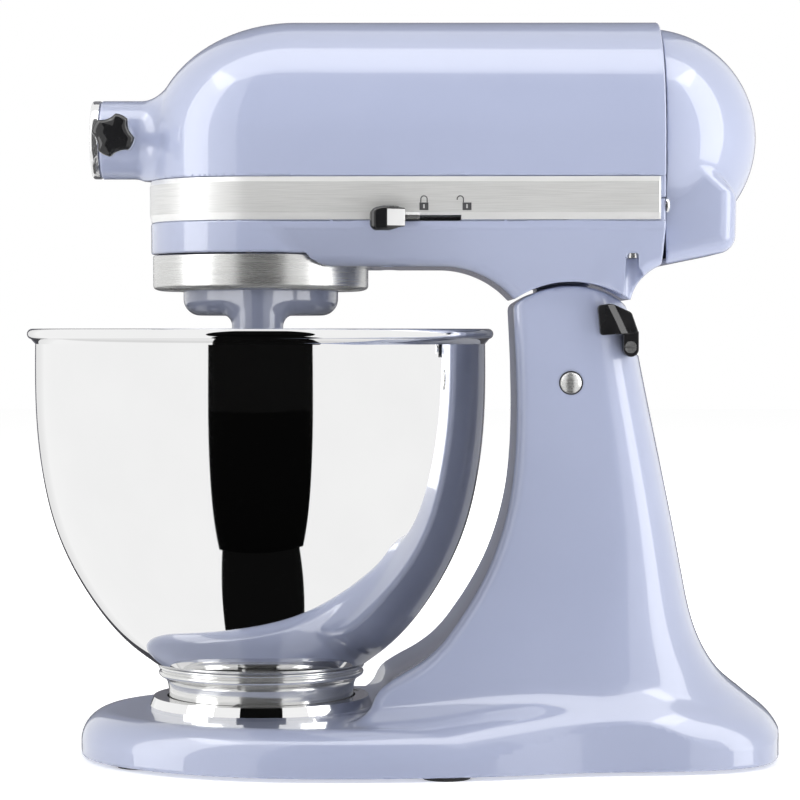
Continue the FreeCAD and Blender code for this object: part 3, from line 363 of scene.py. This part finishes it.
# polished and spun steel get painted shade at their rims, through edge
MIRROR = look("polished_steel", (0.86, 0.86, 0.86), (0.88, 0.88, 0.88), 30, 1.0, 0.03, 0.01, edge=0.35)
SPUN = look("spun_steel", (0.74, 0.74, 0.73), (0.82, 0.82, 0.81), 30, 0.8, 0.14, 0.03, (1, 1, 30), edge=0.5)
SATIN = look("satin_steel", (0.62, 0.62, 0.61), (0.68, 0.68, 0.67), 30, 0.80, 0.27, 0.03, (1, 1, 40), 0.02)
CHROME = look("chrome", (0.80, 0.80, 0.80), (0.84, 0.84, 0.84), 50, 0.85, 0.07, 0.02)
BLACK = look("black_plastic", (0.010, 0.010, 0.011), (0.016, 0.016, 0.017), 60, rough=0.07, vary=0.01)
FACET = look("lever_facet", (0.38, 0.38, 0.38), (0.42, 0.42, 0.42), 40, 0.85, 0.30, 0.02)
MATTE = look("black_matte", (0.020, 0.020, 0.021), (0.032, 0.032, 0.033), 120, rough=0.5, vary=0.08,
             bump=0.15)
CLAMP = look("clamp_plastic", (0.010, 0.010, 0.011), (0.018, 0.018, 0.019), 90, rough=0.18, vary=0.04,
             bump=0.05)
RUBBER = look("rubber", (0.018, 0.018, 0.018), (0.028, 0.028, 0.028), 200, rough=0.75, vary=0.05, bump=0.2)
ALUMINIUM = look("burnished_aluminium", (0.62, 0.62, 0.62), (0.74, 0.74, 0.74), 70, 1.0, 0.36, 0.06,
                 bump=0.08)
GEAR = look("gear_steel", (0.42, 0.42, 0.43), (0.55, 0.55, 0.55), 90, 1.0, 0.35, 0.05, bump=0.05)
LAMINATED = look("laminated_steel", (0.30, 0.31, 0.33), (0.42, 0.43, 0.45), 50, 1.0, 0.42, 0.05,
                 (60, 1, 1), 0.2)
BRONZE = look("bronze", (0.46, 0.30, 0.13), (0.58, 0.39, 0.18), 80, 1.0, 0.34, 0.05)
COPPER = look("copper_wire", (0.52, 0.20, 0.09), (0.66, 0.29, 0.14), 160, 1.0, 0.33, 0.05, bump=0.3)
CARBON = look("carbon", (0.020, 0.020, 0.022), (0.045, 0.045, 0.047), 160, rough=0.6, vary=0.05, bump=0.2)
BOARD = look("circuit_board", (0.015, 0.11, 0.045), (0.030, 0.16, 0.070), 120, rough=0.4, vary=0.05)
FAN = look("fan_plastic", (0.52, 0.50, 0.44), (0.60, 0.58, 0.52), 90, rough=0.45, vary=0.05)
PRINT = look("print_grey", (0.055, 0.055, 0.060), (0.075, 0.075, 0.080), 200, rough=0.45, vary=0.05)


# ---------------------------------------------------------------- the head
def plan(x, y):
    """Distance from the head's outline seen from above: a round nose and sides that part to the rear."""
    s, c = math.sin(SIDE_ANGLE), math.cos(SIDE_ANGLE)
    along = (x - AXIS_X) * c + np.abs(y) * s
    side = np.abs(y) * c - (x - AXIS_X) * s - FRONT_R
    return np.where(along < 0, np.hypot(x - AXIS_X, y) - FRONT_R, side)


def crown_level(x, y, z):
    """Zero on the head's skin: upright below its axis, and a half ellipse in section above."""
    reach = CREST_X - (AXIS_X - FRONT_R)
    u = np.maximum(CREST_X - x, 0) / reach
    half = (FRONT_R + (x - AXIS_X) * math.sin(SIDE_ANGLE)) / math.cos(SIDE_ANGLE)
    nose = (1 + u) / (reach * np.maximum(FRONT_R + AXIS_X - x, 1))
    rear = (1 - u ** 2) / np.maximum(half, 1) ** 2
    narrow = np.where(x < AXIS_X - FRONT_R * math.sin(SIDE_ANGLE), nose, rear)
    rise = np.maximum(z - HEAD_Z, 0) / (HEAD_TOP - HEAD_Z)
    return narrow * y ** 2 + rise ** 2 - (1 - u ** 2)


def upper(x, y, z):
    """The upper housing with its hub."""
    outside = evened(crown_level, x, y, z)
    inner = both(outside + WALL, x - (REAR_X + 9), 0.1)
    hub = both(rod(y, z, 0, HEAD_Z, HUB_R), HUB_FRONT_X - x, 0.9)
    hub = np.minimum(hub, both(rod(y, z, 0, HEAD_Z, SPIGOT_R), HUB_FRONT_X - 2.9 - x, 0.4))
    hub = both(hub, x - (AXIS_X - 30), 0.1)
    body = either(outside, hub, 7.5)
    stem = both(rod(x, z, KNOB_X, HEAD_Z, 6.3), np.abs(y + 22) - 4.6, 0.6)
    body = either(body, stem, 2.5)
    body = without(body, without(inner, both(rod(y, z, 0, HEAD_Z, 18.5), np.abs(x + 107.8) - 9), 0.5), 0.5)
    body = without(body, both(rod(y, z, 0, HEAD_Z, HUB_BORE_R), x + 109.8, 0.3), 0.6)
    body = without(body, both(rod(y, z, 0, HEAD_Z, 11.1), x + 95, 0.1), 0.3)
    body = both(body, np.minimum(BAND_HIGH + 0.2 - z, plan(x, y) + BAND_SINK), 0.5)
    body = both(body, SPLIT_Z + 0.1 - z, 0.4)
    return both(body, x - (REAR_X - 0.1), 0.8)


def lower(x, y, z):
    """The lower housing with its belly, its lug and the slots of the two levers."""
    edge = plan(x, y)
    flare = smooth_step((x - 96 + 0.55 * (250 - z)) / 24)
    drop = np.maximum(250.2 - z, 0)
    side = (edge + 0.9 + TAPER * drop * (1 - 0.62 * flare)) / math.hypot(1, TAPER)
    narrowest = np.maximum(np.abs(y) - 44.4, 30 - x)
    side = np.minimum(side, narrowest)
    under = np.where(x < 18, 233.0 - z, 45.0 - np.hypot(x - 18, z - 188.0))
    back = np.where(z < 213, x - 105.5, 21.9 - np.hypot(x - 127.4, z - 213))
    bottom = both(under, back, 3.0)
    belly = both(side, bottom, 5.5)
    belly = without(belly, both(rod(x, y, AXIS_X, 0, 53.3), z - 239.6, 0.8), 1.0)
    lip = both(edge + 0.4, 250.2 - z, 0.9)
    drum = both(rod(x, y, AXIS_X, 0, FRONT_R), 239.5 - z, 0.9)
    body = np.minimum(np.minimum(either(belly, lip, 0.6), either(belly, drum, 1.2)), lip)
    body = without(body, rod(x, z, PIVOT_X, PIVOT_Z, SADDLE_R), 0.9)
    cavity = both(edge + BAND_SINK + WALL, 253.5 - z, 0.5)
    deep = both(both(side + WALL, 237.5 - z, 0.5), np.maximum(-6 - x, x - (REAR_X - 4)), 0.5)
    cavity = np.minimum(cavity, deep)
    cavity = np.minimum(cavity, both(rod(x, y, AXIS_X, 0, 47.0), z - 250.0, 0.4))
    body = without(body, cavity, 0.4)
    web = block(x, 0 * y, z, PIVOT_X - 15, PIVOT_X + 9, -1, 1, PIVOT_Z, 260)
    lug = np.minimum(rod(x, z, PIVOT_X, PIVOT_Z, 15), web)
    lug = both(lug, np.abs(y) - 21, 0.8)
    body = np.minimum(body, both(lug, z - 237.0, 0.3))
    body = either(body, both(rod(x, y, AXIS_X, 0, 12), np.abs(z - 254) - 2, 0.3), 0.3)
    body = without(body, both(rod(x, y, AXIS_X, 0, 9.1), np.abs(z - 255) - 10, 0.1), 0.3)
    body = both(body, np.minimum(z - BAND_LOW + 0.2, edge + BAND_SINK), 0.5)
    body = without(body, block(x, y, z, -6.8, 27.3, -60, -40, SLOT_LOW, SLOT_HIGH), 0.2)
    body = without(body, block(x, y, z, 6.2, 81.8, 40, 60, SLOT_LOW, SLOT_HIGH), 0.2)
    for px, py, top in ((106.5, 47.5, 239.0), (-6.7, 38, 236.5)):
        pocket = both(rod(x, np.abs(y), px, py, 4.4), z - top, 0.6)
        body = without(body, pocket, 1.1)
    body = both(body, z - (SPLIT_Z - 0.1), 0.4)
    return both(body, x - (REAR_X - 0.1 - 0.09 * np.maximum(252 - z, 0)), 0.8)


def cover(x, y, z):
    """The rear cover: a ball with a chin below it."""
    def outer(inset):
        ball = np.sqrt((x - 115.9) ** 2 + y ** 2 + (z - HEAD_Z - 0.3) ** 2) - 52.6
        bottom = ((233.9 - z) + 0.205 * (x - REAR_X)) / 1.021
        chin = both(x - 155.6 + 0.02 * np.abs(z - 262), bottom, 6.5)
        chin = both(chin, z - 277 - 0.9 * (146 - x), 4)
        chin = both(chin, np.abs(y) - 43.5 - 0.02 * (z - 240), 6.0 if inset else 9.0)
        return either(ball, chin, 2.2) + inset
    body = without(outer(0), outer(3.0), 0.5)
    body = both(body, REAR_X + 0.35 - x + 0.05 * np.maximum(252 - z, 0), 0.6)
    for side in (-1, 1):
        body = without(body, both(rod(y, z, side * 51.0, 261, 4.4), x - (REAR_X + 3.2), 0.2), 0.5)
    body = without(body, both(rod(y, z, 0, 250, 4.3), 152.3 - x, 0.2), 0.6)
    return body


cast("upper_casting", upper, (-147, -56, 264), (122, 56, 351), 1.15, ENAMEL, "head",
     ["upper_housing"])
lower_piece = cast("lower_casting", lower, (-121, -56, 163), (122, 56, 265), 1.15, [ENAMEL, MATTE], "head",
                   ["lower_housing"])
# faces inside the two lever slots take black matte: painted shade deep in the slots
for polygon in lower_piece.data.polygons:
    px, py, pz = 1000 * polygon.center
    near = -6.7 < px < 27.2 and py < 0
    far = 6.3 < px < 81.7 and py > 0
    if (near or far) and 253.8 < pz < 256.8 and 40 < abs(py) and plan(px, py) < -1.7:
        polygon.material_index = 1
cast("cover_casting", cover, (121, -56, 232), (169, 56, 348), 1.1, ENAMEL, "head", ["rear_cover"])


# ---------------------------------------------------------------- the stand
OUTLINE = [(-154.0, 0), (-145, 38), (-122, 64), (-88, 83), (-42, 91.8), (8, 90), (60, 80), (110, 71),
           (146, 65.5), (168, 51), (177, 28), (179.4, 0)]
HALF_TURN = [(math.atan2(y, x), math.hypot(x, y)) for x, y in OUTLINE]
ROUND = sorted(HALF_TURN + [(-a, r) for a, r in HALF_TURN[1:-1]])
BASE_RADIUS = Curve([a for a, r in ROUND], [r for a, r in ROUND], 2 * math.pi)
# the column at each level: front edge, half width there, rear edge, half width there
SECTIONS = [(-10, -24, 68, 180.5, 71), (6, -22, 66, 178.0, 69), (23, -19, 62.5, 170.6, 66),
            (30, -16, 58.5, 164.4, 62.5), (38, -11, 55, 154.6, 59), (47, 3.8, 52.5, 146.9, 55.5),
            (64.3, 22.1, 49, 138.7, 51),
            (87.4, 36.5, 46.5, 133.4, 48), (122, 48.5, 45, 126.7, 45.5), (160, 52.2, 44, 118.8, 43.5),
            (195, 51.6, 43.2, 111.8, 42), (228, 50.0, 42.5, 105.6, 41)]
LEVELS = [row[0] for row in SECTIONS]
FRONT_X, FRONT_W, BACK_X, BACK_W = (Curve(LEVELS, [row[i] for row in SECTIONS]) for i in range(1, 5))
FEET = [(-122, -42), (-122, 42), (20, -76), (20, 76), (160, 0)]
HOLLOW_SHARE, HOLLOW_X = 0.86, 8.0   # the underside's hollow is the outline shrunk about this point


def base_level(x, y, z):
    """Zero on the base's upright edge, the same at every z."""
    return np.hypot(x, y) - BASE_RADIUS(np.arctan2(y, x))


def column_sides(x, y, z):
    front, wide, rear, back = FRONT_X(z), FRONT_W(z), BACK_X(z), BACK_W(z)
    turn = rear - 0.38 * (rear - front)
    width = wide + (back - wide) * np.clip((x - front) / (turn - front), 0, 1)
    beyond = np.maximum(x - turn, 0) / (rear - turn)
    return beyond ** 2.3 + (np.abs(y) / width) ** 2.5 - 1


def column_front(x, y, z):
    front, wide, rear = FRONT_X(z), FRONT_W(z), BACK_X(z)
    hollow = 3.0 + 0.05 * (rear - front - 55)
    return front + hollow * (1 - (y / wide) ** 2) - x


def stand(x, y, z):
    """The base and the column, with the hinge fork at its top and the hollow underside."""
    edge = evened(base_level, x, y, z)
    slab = both(edge, z - PLATEAU_Z, 14.5)
    column = both(evened(column_sides, x, y, z), evened(column_front, x, y, z), 6.5)
    crown = np.where(z > PIVOT_Z, rod(x, z, PIVOT_X, PIVOT_Z, CROWN_R), -9.0)
    column = both(column, crown, 1.6)
    column = without(column, block(x, y, z, 58, 104, -22.6, 22.6, 163, 300), 0.9)
    column = without(column, block(x, y, z, 100, 135, -22.6, 22.6, 192, 300), 0.9)
    flow = smooth_step((x + 25) / 90) * (1 - smooth_step((x - 105) / 40))
    body = np.maximum(either(slab, column, 8.0 + 12.0 * flow), edge)
    pocket = np.maximum(block(x, y, z, 14, 132, -50, 50, -9, 28), -1.0)
    body = without(body, pocket, 2.0)
    wide_x, wide_y = (x - HOLLOW_X) / HOLLOW_SHARE + HOLLOW_X, y / HOLLOW_SHARE
    hollow = base_level(wide_x, wide_y, z) * HOLLOW_SHARE
    hollow = both(hollow, z - 14.0, 1.5)
    for fx, fy in FEET:
        hollow = without(hollow, rod(x, y, fx, fy, 13.0), 1.5)
    body = without(body, hollow, 0.8)
    return both(body, FOOT_GAP + 0.1 - z, 1.0)


cast("stand_casting", stand, (-155, -93, 1), (181, 93, 226), 1.6, ENAMEL, "stand",
     ["base_foot", "column"])


# ---------------------------------------------------------------- the planetary
def planetary(x, y, z):
    """The drum under the drip ring, with the boss of the beater shaft."""
    drum = both(rod(x, y, AXIS_X, 0, 37.0), 210.5 - z, 8.0)
    drum = both(drum, z - 230, 0.3)
    boss = both(rod(x, y, AXIS_X, BEATER_Y, 12.0), 199.2 - z, 0.6)
    boss = both(boss, z - 235, 0.3)
    body = either(drum, boss, 5.5)
    plate = both(rod(x, y, AXIS_X, 0, 49.5), np.abs(z - 232.75) - 4.7, 0.6)
    body = either(body, plate, 1.0)
    body = without(body, rod(x, y, AXIS_X, 0, SHAFT_HOLE_R), 0.3)
    return without(body, rod(x, y, AXIS_X, BEATER_Y, SHAFT_HOLE_R), 0.3)


cast("planetary_casting", planetary, (-118, -50, 199), (-18, 50, 238), 0.9, ENAMEL, "planetary",
     ["planetary_carrier"])


# ---------------------------------------------------------------- trim band
LOCK_NOTCH = (-6.6, 27.1)
SPEED_NOTCH = (6.4, 81.6)
NOTCH_TOP = 256.5
BAND_END = 118.8
LOW_BEVEL = 3.4
END_DRAW = 0.35                 # the band's rear end is drawn in this much


def band_section(z0, z1):
    """The band's closed section as (outward, z), from the seat."""
    out, back = BAND_PROUD, -(BAND_SINK - 0.1)
    return [(back, z0), (out - 0.95, z0), (out - 0.80, z0 + 0.12), (out, max(z0, BAND_LOW + LOW_BEVEL)),
            (out, z1 - 2.3), (out - 0.62, z1 - 0.12), (out - 0.77, z1), (back, z1)]


def band():
    """The band swept round the nose, notched under the two levers."""
    s, c = math.sin(SIDE_ANGLE), math.cos(SIDE_ANGLE)

    def station(x, side, raised):
        y = (FRONT_R + (x - AXIS_X) * s) / c
        return (x, side * y), (-s, side * c), raised, x == BAND_END

    a, b = LOCK_NOTCH
    rows = [station(x, -1, raised) for x, raised in
            ((BAND_END, 0), (BAND_END - 0.7, 0), (b, 0), (b, 1), (a, 1), (a, 0), (-60, 0))]
    for t in np.linspace(-90, 90, 73):
        n = (-math.cos(math.radians(t)), math.sin(math.radians(t)))
        rows.append(((AXIS_X + FRONT_R * n[0], FRONT_R * n[1]), n, 0, False))
    a, b = SPEED_NOTCH
    rows += [station(x, 1, raised) for x, raised in
             ((-60, 0), (a, 0), (a, 1), (b, 1), (b, 0), (BAND_END - 0.7, 0), (BAND_END, 0))]
    stations = []
    for (px, py), (nx, ny), raised, end in rows:
        section = band_section(NOTCH_TOP if raised else BAND_LOW + 0.1, BAND_HIGH - 0.1)
        section = [(out - (END_DRAW if end and out > 0 else 0), z) for out, z in section]
        stations.append([(px + nx * out, py + ny * out, z) for out, z in section])
    return swept(stations)


points, faces = band()
band_piece = piece("trim_band_skin", points, faces, [BAND, BEVEL], "head", ["trim_band"],
                   crease=5)
# bevels and rear end get the lighter copy of the band metal: painted highlight
for polygon in band_piece.data.polygons:
    z_mid = 1000 * polygon.center.z
    x_mid = 1000 * polygon.center.x
    if z_mid > BAND_HIGH - 2.2 or z_mid < BAND_LOW + 3.3 or x_mid > BAND_END - 0.71:
        polygon.material_index = 1


# ---------------------------------------------------------------- bowl
BOWL_CURVE = [(107.5, 197.0), (107.4, 170.0), (104.6, 138.0), (97.0, 106.5), (82.5, 77.6), (62.0, 53.0),
              (49.5, 43.6)]
BOWL_SHEET = 1.1                # thickness of the bowl's wall
RUN = np.cumsum([0] + [math.dist(a, b) for a, b in zip(BOWL_CURVE, BOWL_CURVE[1:])])
WALL_R, WALL_H = (Curve(RUN, [p[i] for p in BOWL_CURVE]) for i in (0, 1))


def bowl_profile():
    """The bowl's closed section as (radius, height): inside, rolled rim, outside, floor."""
    t = np.linspace(0, RUN[-1], 60)
    r, h = WALL_R(t), WALL_H(t)
    dr, dh = np.gradient(r, t), np.gradient(h, t)
    size = np.hypot(dr, dh)
    outside = list(zip(r, h))
    inside = list(zip(r + BOWL_SHEET * dh / size, h - BOWL_SHEET * dr / size))
    bead, curl = 2.5, []
    for a in np.radians(np.arange(-75, 256, 15)):
        curl.append((BOWL_R - bead + bead * math.cos(a), RIM_Z - bead + 0.9 + bead * math.sin(a)))
    return inside[:0:-1] + [(106.4, 199.5)] + curl[::-1] + outside + [(0.02, 43.6), (0.02, 44.7)]


points, faces = turned(bowl_profile(), about_z(AXIS_X), 192)
piece("bowl_skin", points, faces, MIRROR, "bowl", ["bowl"])

foot = eased([(42.0, 25.3), (44.4, 25.3), (44.4, 33.0), (45.4, 36.6), (48.9, 38.6), (49.3, 40.2),
              (47.6, 41.3), (49.4, 42.4), (49.4, 43.4), (42.0, 43.4)], 1.6)
points, faces = turned(foot, about_z(AXIS_X), 144)
piece("bowl_foot_skin", points, faces, SPUN, "bowl", ["bowl_foot"])
ring = eased([(49.9, 238.9), (49.9, 227.6), (47.5, 223.6), (43.2, 223.6), (43.2, 222.1), (48.0, 222.1),
              (51.5, 223.3), (51.5, 238.9)], 2.8, 8)
points, faces = turned(ring, about_z(AXIS_X), 144)
piece("drip_ring_skin", points, faces, SATIN, "planetary", ["drip_ring"])


# ---------------------------------------------------------------- levers and knobs
def knob_field(x0, side):
    """A side lever's knob: a short barrel with a slanting facet at its inner end."""
    def field(x, y, z):
        u, v = x - x0, side * y
        top = 259.3 + 1.1 * smooth_step(u / 7) - 0.9 * smooth_step((u - 11) / 5)
        low = 249.1 + 1.8 * smooth_step((u - 8) / 8)
        body = both(z - top, low - z, 1.6)
        body = both(body, v - 66.9 + 0.012 * (u - 6) ** 2, 2.4)
        body = both(body, 0.05 - u, 3.2)
        body = both(both(body, u - 16.3, 0.8), 57.0 - v, 0.8)
        return both(body, 0.484 * (u - 8.2) + 0.875 * (v - 66.6), 0.2)
    return field


def lever_knob(name, x0, side, body, stands_for):
    low, high = sorted((side * 57, side * 67))
    knob = cast(name, knob_field(x0, side), (x0, low, 249), (x0 + 16.5, high, 260.5), 0.42,
                [BLACK, FACET], body, [stands_for])
    for polygon in knob.data.polygons:
        facing = side * polygon.normal.y > 0.75 and polygon.normal.x > 0.42
        if facing and abs(1000 * polygon.center.z - 255.1) < 3.6:
            polygon.material_index = 1


lever_knob("lock_knob_skin", -15.0, -1, "lock_lever", "lock_lever_knob")
lever_knob("speed_knob_skin", 58.0, 1, "speed_lever", "speed_lever_knob")


def knob_edge(a):
    """The hub knob's radius at angle a: a disc with four finger scallops."""
    off = (a - math.radians(20) + math.pi / 4) % (math.pi / 2) - math.pi / 4
    away = min(abs(SCALLOP_AT * math.sin(off)), SCALLOP_R)
    reach = math.sqrt(SCALLOP_AT ** 2 - away ** 2) - math.sqrt(SCALLOP_R ** 2 - away ** 2)
    return -math.log(math.exp(-4 * reach) + math.exp(-4 * KNOB_R)) / 4


def hub_knob():
    """The knob as sections across its axis, each the edge drawn in by a share."""
    sections = []
    for y, share in ((-29.1, 0.30), (-29.1, 0.80), (-29.6, 0.93), (-31.0, 1.0), (-37.2, 1.0), (-38.4, 0.985),
                     (-39.2, 0.92), (-39.9, 0.80), (-40.5, 0.60), (-40.8, 0.35), (-40.9, 0.05)):
        section = []
        for a in np.linspace(0, 2 * math.pi, 96, endpoint=False):
            radius = share * knob_edge(a)
            section.append((KNOB_X + radius * math.cos(a), y, HEAD_Z + radius * math.sin(a)))
        sections.append(section)
    return swept(sections)


points, faces = hub_knob()
knob = piece("hub_knob_skin", points, faces, [BLACK, CHROME], "hub_knob", ["hub_knob"],
             crease=45)
for polygon in knob.data.polygons:
    if 1000 * polygon.center.y > -38.3:
        polygon.material_index = 1

rim = eased([(0.05, -148.25), (17.7, -148.25), (18.65, -147.5), (18.65, -144.15), (17.55, -144.15),
             (17.55, -147.05), (0.05, -147.05)], 0.5, 3)
points, faces = turned(rim, about_x(0, HEAD_Z), 128)
piece("hub_cap_skin", points, faces, CHROME, "hub_cap", ["hub_cap"])

dome = [(0.05, -43.39), (1.6, -43.385), (3.0, -43.37), (4.0, -43.34), (4.7, -43.28), (4.95, -43.18),
        (4.98, -42.0)]
dome = dome + [(r, -h) for r, h in reversed(dome)]
points, faces = turned(dome, about_y(PIVOT_X, PIVOT_Z), 64)
at = np.array(points) - (PIVOT_X, 0, PIVOT_Z)
bulge = np.stack([0.13 * at[:, 0], np.sign(at[:, 1]), 0.13 * at[:, 2]], 1)
bulge /= np.linalg.norm(bulge, axis=1, keepdims=True)
piece("hinge_pin_skin", points, faces, SATIN, "stand", ["hinge_pin"], bulge)
for side, title in ((-1, "near"), (1, "far")):
    gap_ring = [(5.02, side * 42.6), (5.55, side * 42.6), (5.55, side * 43.30), (5.02, side * 43.30)]
    points, faces = turned(gap_ring[::side], about_y(PIVOT_X, PIVOT_Z), 64)
    piece("pin_shadow_ring_" + title, points, faces, MATTE, "stand")


def clamp(x, y, z):
    """The cord clamp: a block with one slanting facet, ribs behind it and a round-ended tab below."""
    across = 0.9 * (x - 94.3) + 0.439 * (z - 216.5)
    near = -46.9 + 0.62 * np.clip(across, 0, 3.0) + 0.05 * np.maximum(across - 3.0, 0)
    ribs = 0.28 * np.sin(3.0 * (x + z)) * smooth_step((across - 8.6) / 0.8)
    edge = both(90.3 + 0.1 * (215.1 - z) - x, z - 215.0 - 0.13 * (x - 90.2), 1.8)
    edge = both(edge, (z - 215.9 + 0.4516 * (x - 97.1)) / 1.097, 0.8)
    edge = both(edge, 0.945 * (x - 106.3) + 0.327 * (z - 211.8), 0.8)
    edge = both(edge, 201.1 + 0.06 * (x - 91.6) - z, 1.4)
    block_part = both(edge, near + ribs - y, 0.4)
    tab = both(np.hypot(x - 106.1, np.minimum(z - 194.7, 0)) - 3.6, z - 203.0, 0.4)
    tab = both(tab, -44.6 - y, 0.5)
    return both(np.minimum(block_part, tab), y + 34.2, 0.2)


cast("cord_clamp_skin", clamp, (90, -47, 191), (110, -34, 216), 0.42, CLAMP, "stand",
     ["cord_clamp"])


# ---------------------------------------------------------------- signs printed on the band
def on_band(x, z, proud):
    """A point over the near face of the band."""
    s, c = math.sin(SIDE_ANGLE), math.cos(SIDE_ANGLE)
    return x, -(FRONT_R + (x - AXIS_X) * s) / c - BAND_PROUD - proud, z


def padlock(name, x, swing):
    """A plain padlock sign; swing moves its shackle aside, to read as open."""
    outer = [(-2.05, 258.7), (2.05, 258.7), (2.05, 262.2), (-2.05, 262.2)]
    inner = [(-0.38, 259.6), (0.38, 259.6), (0.38, 261.4), (-0.38, 261.4)]
    layers = [(ring_of, proud) for proud in (0.02, 0.10) for ring_of in (outer, inner)]
    points = [on_band(x + px, pz, proud) for ring_of, proud in layers for px, pz in ring_of]
    faces = []
    for i in range(4):
        k = (i + 1) % 4
        faces += [(8 + i, 8 + k, 12 + k, 12 + i), (i, 4 + i, 4 + k, k), (i, k, 8 + k, 8 + i),
                  (4 + i, 12 + i, 12 + k, 4 + k)]
    piece(name + "_body", points, faces, PRINT, "head")
    path = [(1.45, 262.25, 0.0)] + [(1.45 * math.cos(a), 263.8 + 1.45 * math.sin(a), a)
                                    for a in np.linspace(0, math.pi, 15)]
    path += [(-1.45, 263.4 if swing else 262.25, math.pi)]
    sections = []
    for px, pz, a in path:
        section = [(px + w * math.cos(a), pz + w * math.sin(a), proud)
                   for w, proud in ((-0.24, 0.02), (0.24, 0.02), (0.24, 0.10), (-0.24, 0.10))]
        sections.append([on_band(x + swing + qx, qz, proud) for qx, qz, proud in section])
    points, faces = swept(sections)
    piece(name + "_shackle", points, faces, PRINT, "head")


padlock("locked_sign", 9.9, 0.0)
padlock("unlocked_sign", 29.7, -3.1)

SLOTS = {"enamel": ENAMEL, "trim_steel": BAND, "polished_steel": MIRROR, "satin_steel": SATIN,
         "chrome": CHROME, "black_plastic": BLACK, "black_matte": MATTE, "rubber": RUBBER,
         "burnished_aluminium": ALUMINIUM, "gear_steel": GEAR, "laminated_steel": LAMINATED,
         "bronze": BRONZE, "copper_wire": COPPER, "carbon": CARBON, "circuit_board": BOARD,
         "fan_plastic": FAN}
for part in frame["record"]["subparts"]:
    node = frame["nodes"][part["node"]]
    node.data.materials.clear()
    node.data.materials.append(SLOTS[part["material_slot"]])


# ---------------------------------------------------------------- room, light, camera
def plain(name, colour):
    material = bpy.data.materials.new(name)
    material.use_nodes = True
    shader = material.node_tree.nodes["Principled BSDF"]
    shader.inputs["Base Color"].default_value = (*colour, 1)
    shader.inputs["Roughness"].default_value = 0.8
    shader.inputs["Specular IOR Level"].default_value = 0.0
    shader.inputs["Emission Color"].default_value = (*colour, 1)
    shader.inputs["Emission Strength"].default_value = 0.0
    return material


def sheet(name, corners, material):
    mesh = bpy.data.meshes.new(name)
    mesh.from_pydata(corners, [], [(0, 1, 2, 3)])
    mesh.materials.append(material)
    obj = bpy.data.objects.new(name, mesh)
    bpy.context.scene.collection.objects.link(obj)
    return obj


def pale_floor():
    """A floor that glows, more with distance from the mixer, so it grows into the white background: painted
    light.
    """
    material = plain("floor_pale", (0.93, 0.93, 0.93))
    nodes, links = material.node_tree.nodes, material.node_tree.links
    place = nodes.new("ShaderNodeTexCoord")
    far = nodes.new("ShaderNodeVectorMath")
    far.operation = "LENGTH"
    glow = nodes.new("ShaderNodeMapRange")
    glow.inputs["From Min"].default_value, glow.inputs["From Max"].default_value = 0.25, 0.7
    glow.inputs["To Min"].default_value, glow.inputs["To Max"].default_value = 0.40, 1.05
    links.new(place.outputs["Object"], far.inputs[0])
    links.new(far.outputs["Value"], glow.inputs["Value"])
    links.new(glow.outputs["Result"], nodes["Principled BSDF"].inputs["Emission Strength"])
    return material


floor = sheet("floor", [(-6, -6, 0), (6, -6, 0), (6, 6, 0), (-6, 6, 0)], pale_floor())
floor.visible_glossy = False
CARD = plain("card_dark", (0.004, 0.004, 0.004))
cards = [sheet("dark_card",
               [(-0.78, -1.6, -1.5), (0.84, -1.6, -1.5), (0.64, -1.6, 4), (-0.60, -1.6, 4)], CARD),
         sheet("dark_card_low",
               [(-0.72, -1.6, -1.5), (0.76, -1.6, -1.5), (0.30, 0.6, -1.5), (-0.34, 0.6, -1.5)], CARD),
         sheet("dark_card_back", [(-0.75, 1.7, -1.5), (0.75, 1.7, -1.5), (0.75, 1.7, 2.5), (-0.75, 1.7, 2.5)],
               plain("card_grey", (0.16, 0.16, 0.18)))]
for card in cards:
    card.visible_camera = False
    card.visible_diffuse = False
    card.visible_shadow = False


def softbox(name, at, aim, size, strength, glossy=True):
    data = bpy.data.lights.new(name, "AREA")
    data.shape = "RECTANGLE"
    data.size, data.size_y = size
    data.energy = strength * size[0] * size[1] * math.pi
    obj = bpy.data.objects.new(name, data)
    bpy.context.scene.collection.objects.link(obj)
    obj.location = at
    way = np.array(aim, float) - np.array(at, float)
    obj.rotation_euler = Vector(way).to_track_quat("-Z", "Y").to_euler()
    obj.visible_camera = False
    obj.visible_glossy = glossy
    return obj


softbox("box_top", (0.0, -0.33, 1.78), (0.0, -0.05, 0.3), (2.6, 0.85), 2.2)
softbox("box_left", (-1.22, -0.47, 0.75), (0, 0, 0.3), (0.75, 2.2), 2.6)
softbox("box_right", (1.30, -0.47, 0.75), (0.1, 0, 0.3), (0.75, 2.2), 2.9)
softbox("fill_front", (0.2, -2.6, 1.6), (0, 0, 0.2), (2.5, 2.0), 1.0, False)
softbox("fill_back", (0.0, 2.2, 1.6), (0, 0, 0.2), (2.5, 2.0), 1.6, False)

boxed = bpy.data.collections.new("lit_by_boxes")
for obj in bpy.context.scene.objects:
    if obj.type == "MESH" and obj.name != "bowl_skin":
        boxed.objects.link(obj)
for obj in bpy.context.scene.objects:
    if obj.type == "LIGHT":
        obj.light_linking.receiver_collection = boxed

world = bpy.data.worlds.new("studio")
bpy.context.scene.world = world
world.use_nodes = True
world.node_tree.nodes["Background"].inputs["Color"].default_value = (1, 1, 1, 1)
world.node_tree.nodes["Background"].inputs["Strength"].default_value = 1.0
world.cycles_visibility.diffuse = False
bpy.context.scene.view_settings.view_transform = "Standard"

camera = bpy.data.cameras.new("camera")
camera.lens, camera.sensor_width = 126.6, 36.0
camera_object = bpy.data.objects.new("camera", camera)
bpy.context.scene.collection.objects.link(camera_object)
camera_object.location = (0.0034, -1.35, 0.203)
camera_object.rotation_euler = (math.radians(90 - 1.4), 0, math.radians(0.2))
bpy.context.scene.camera = camera_object
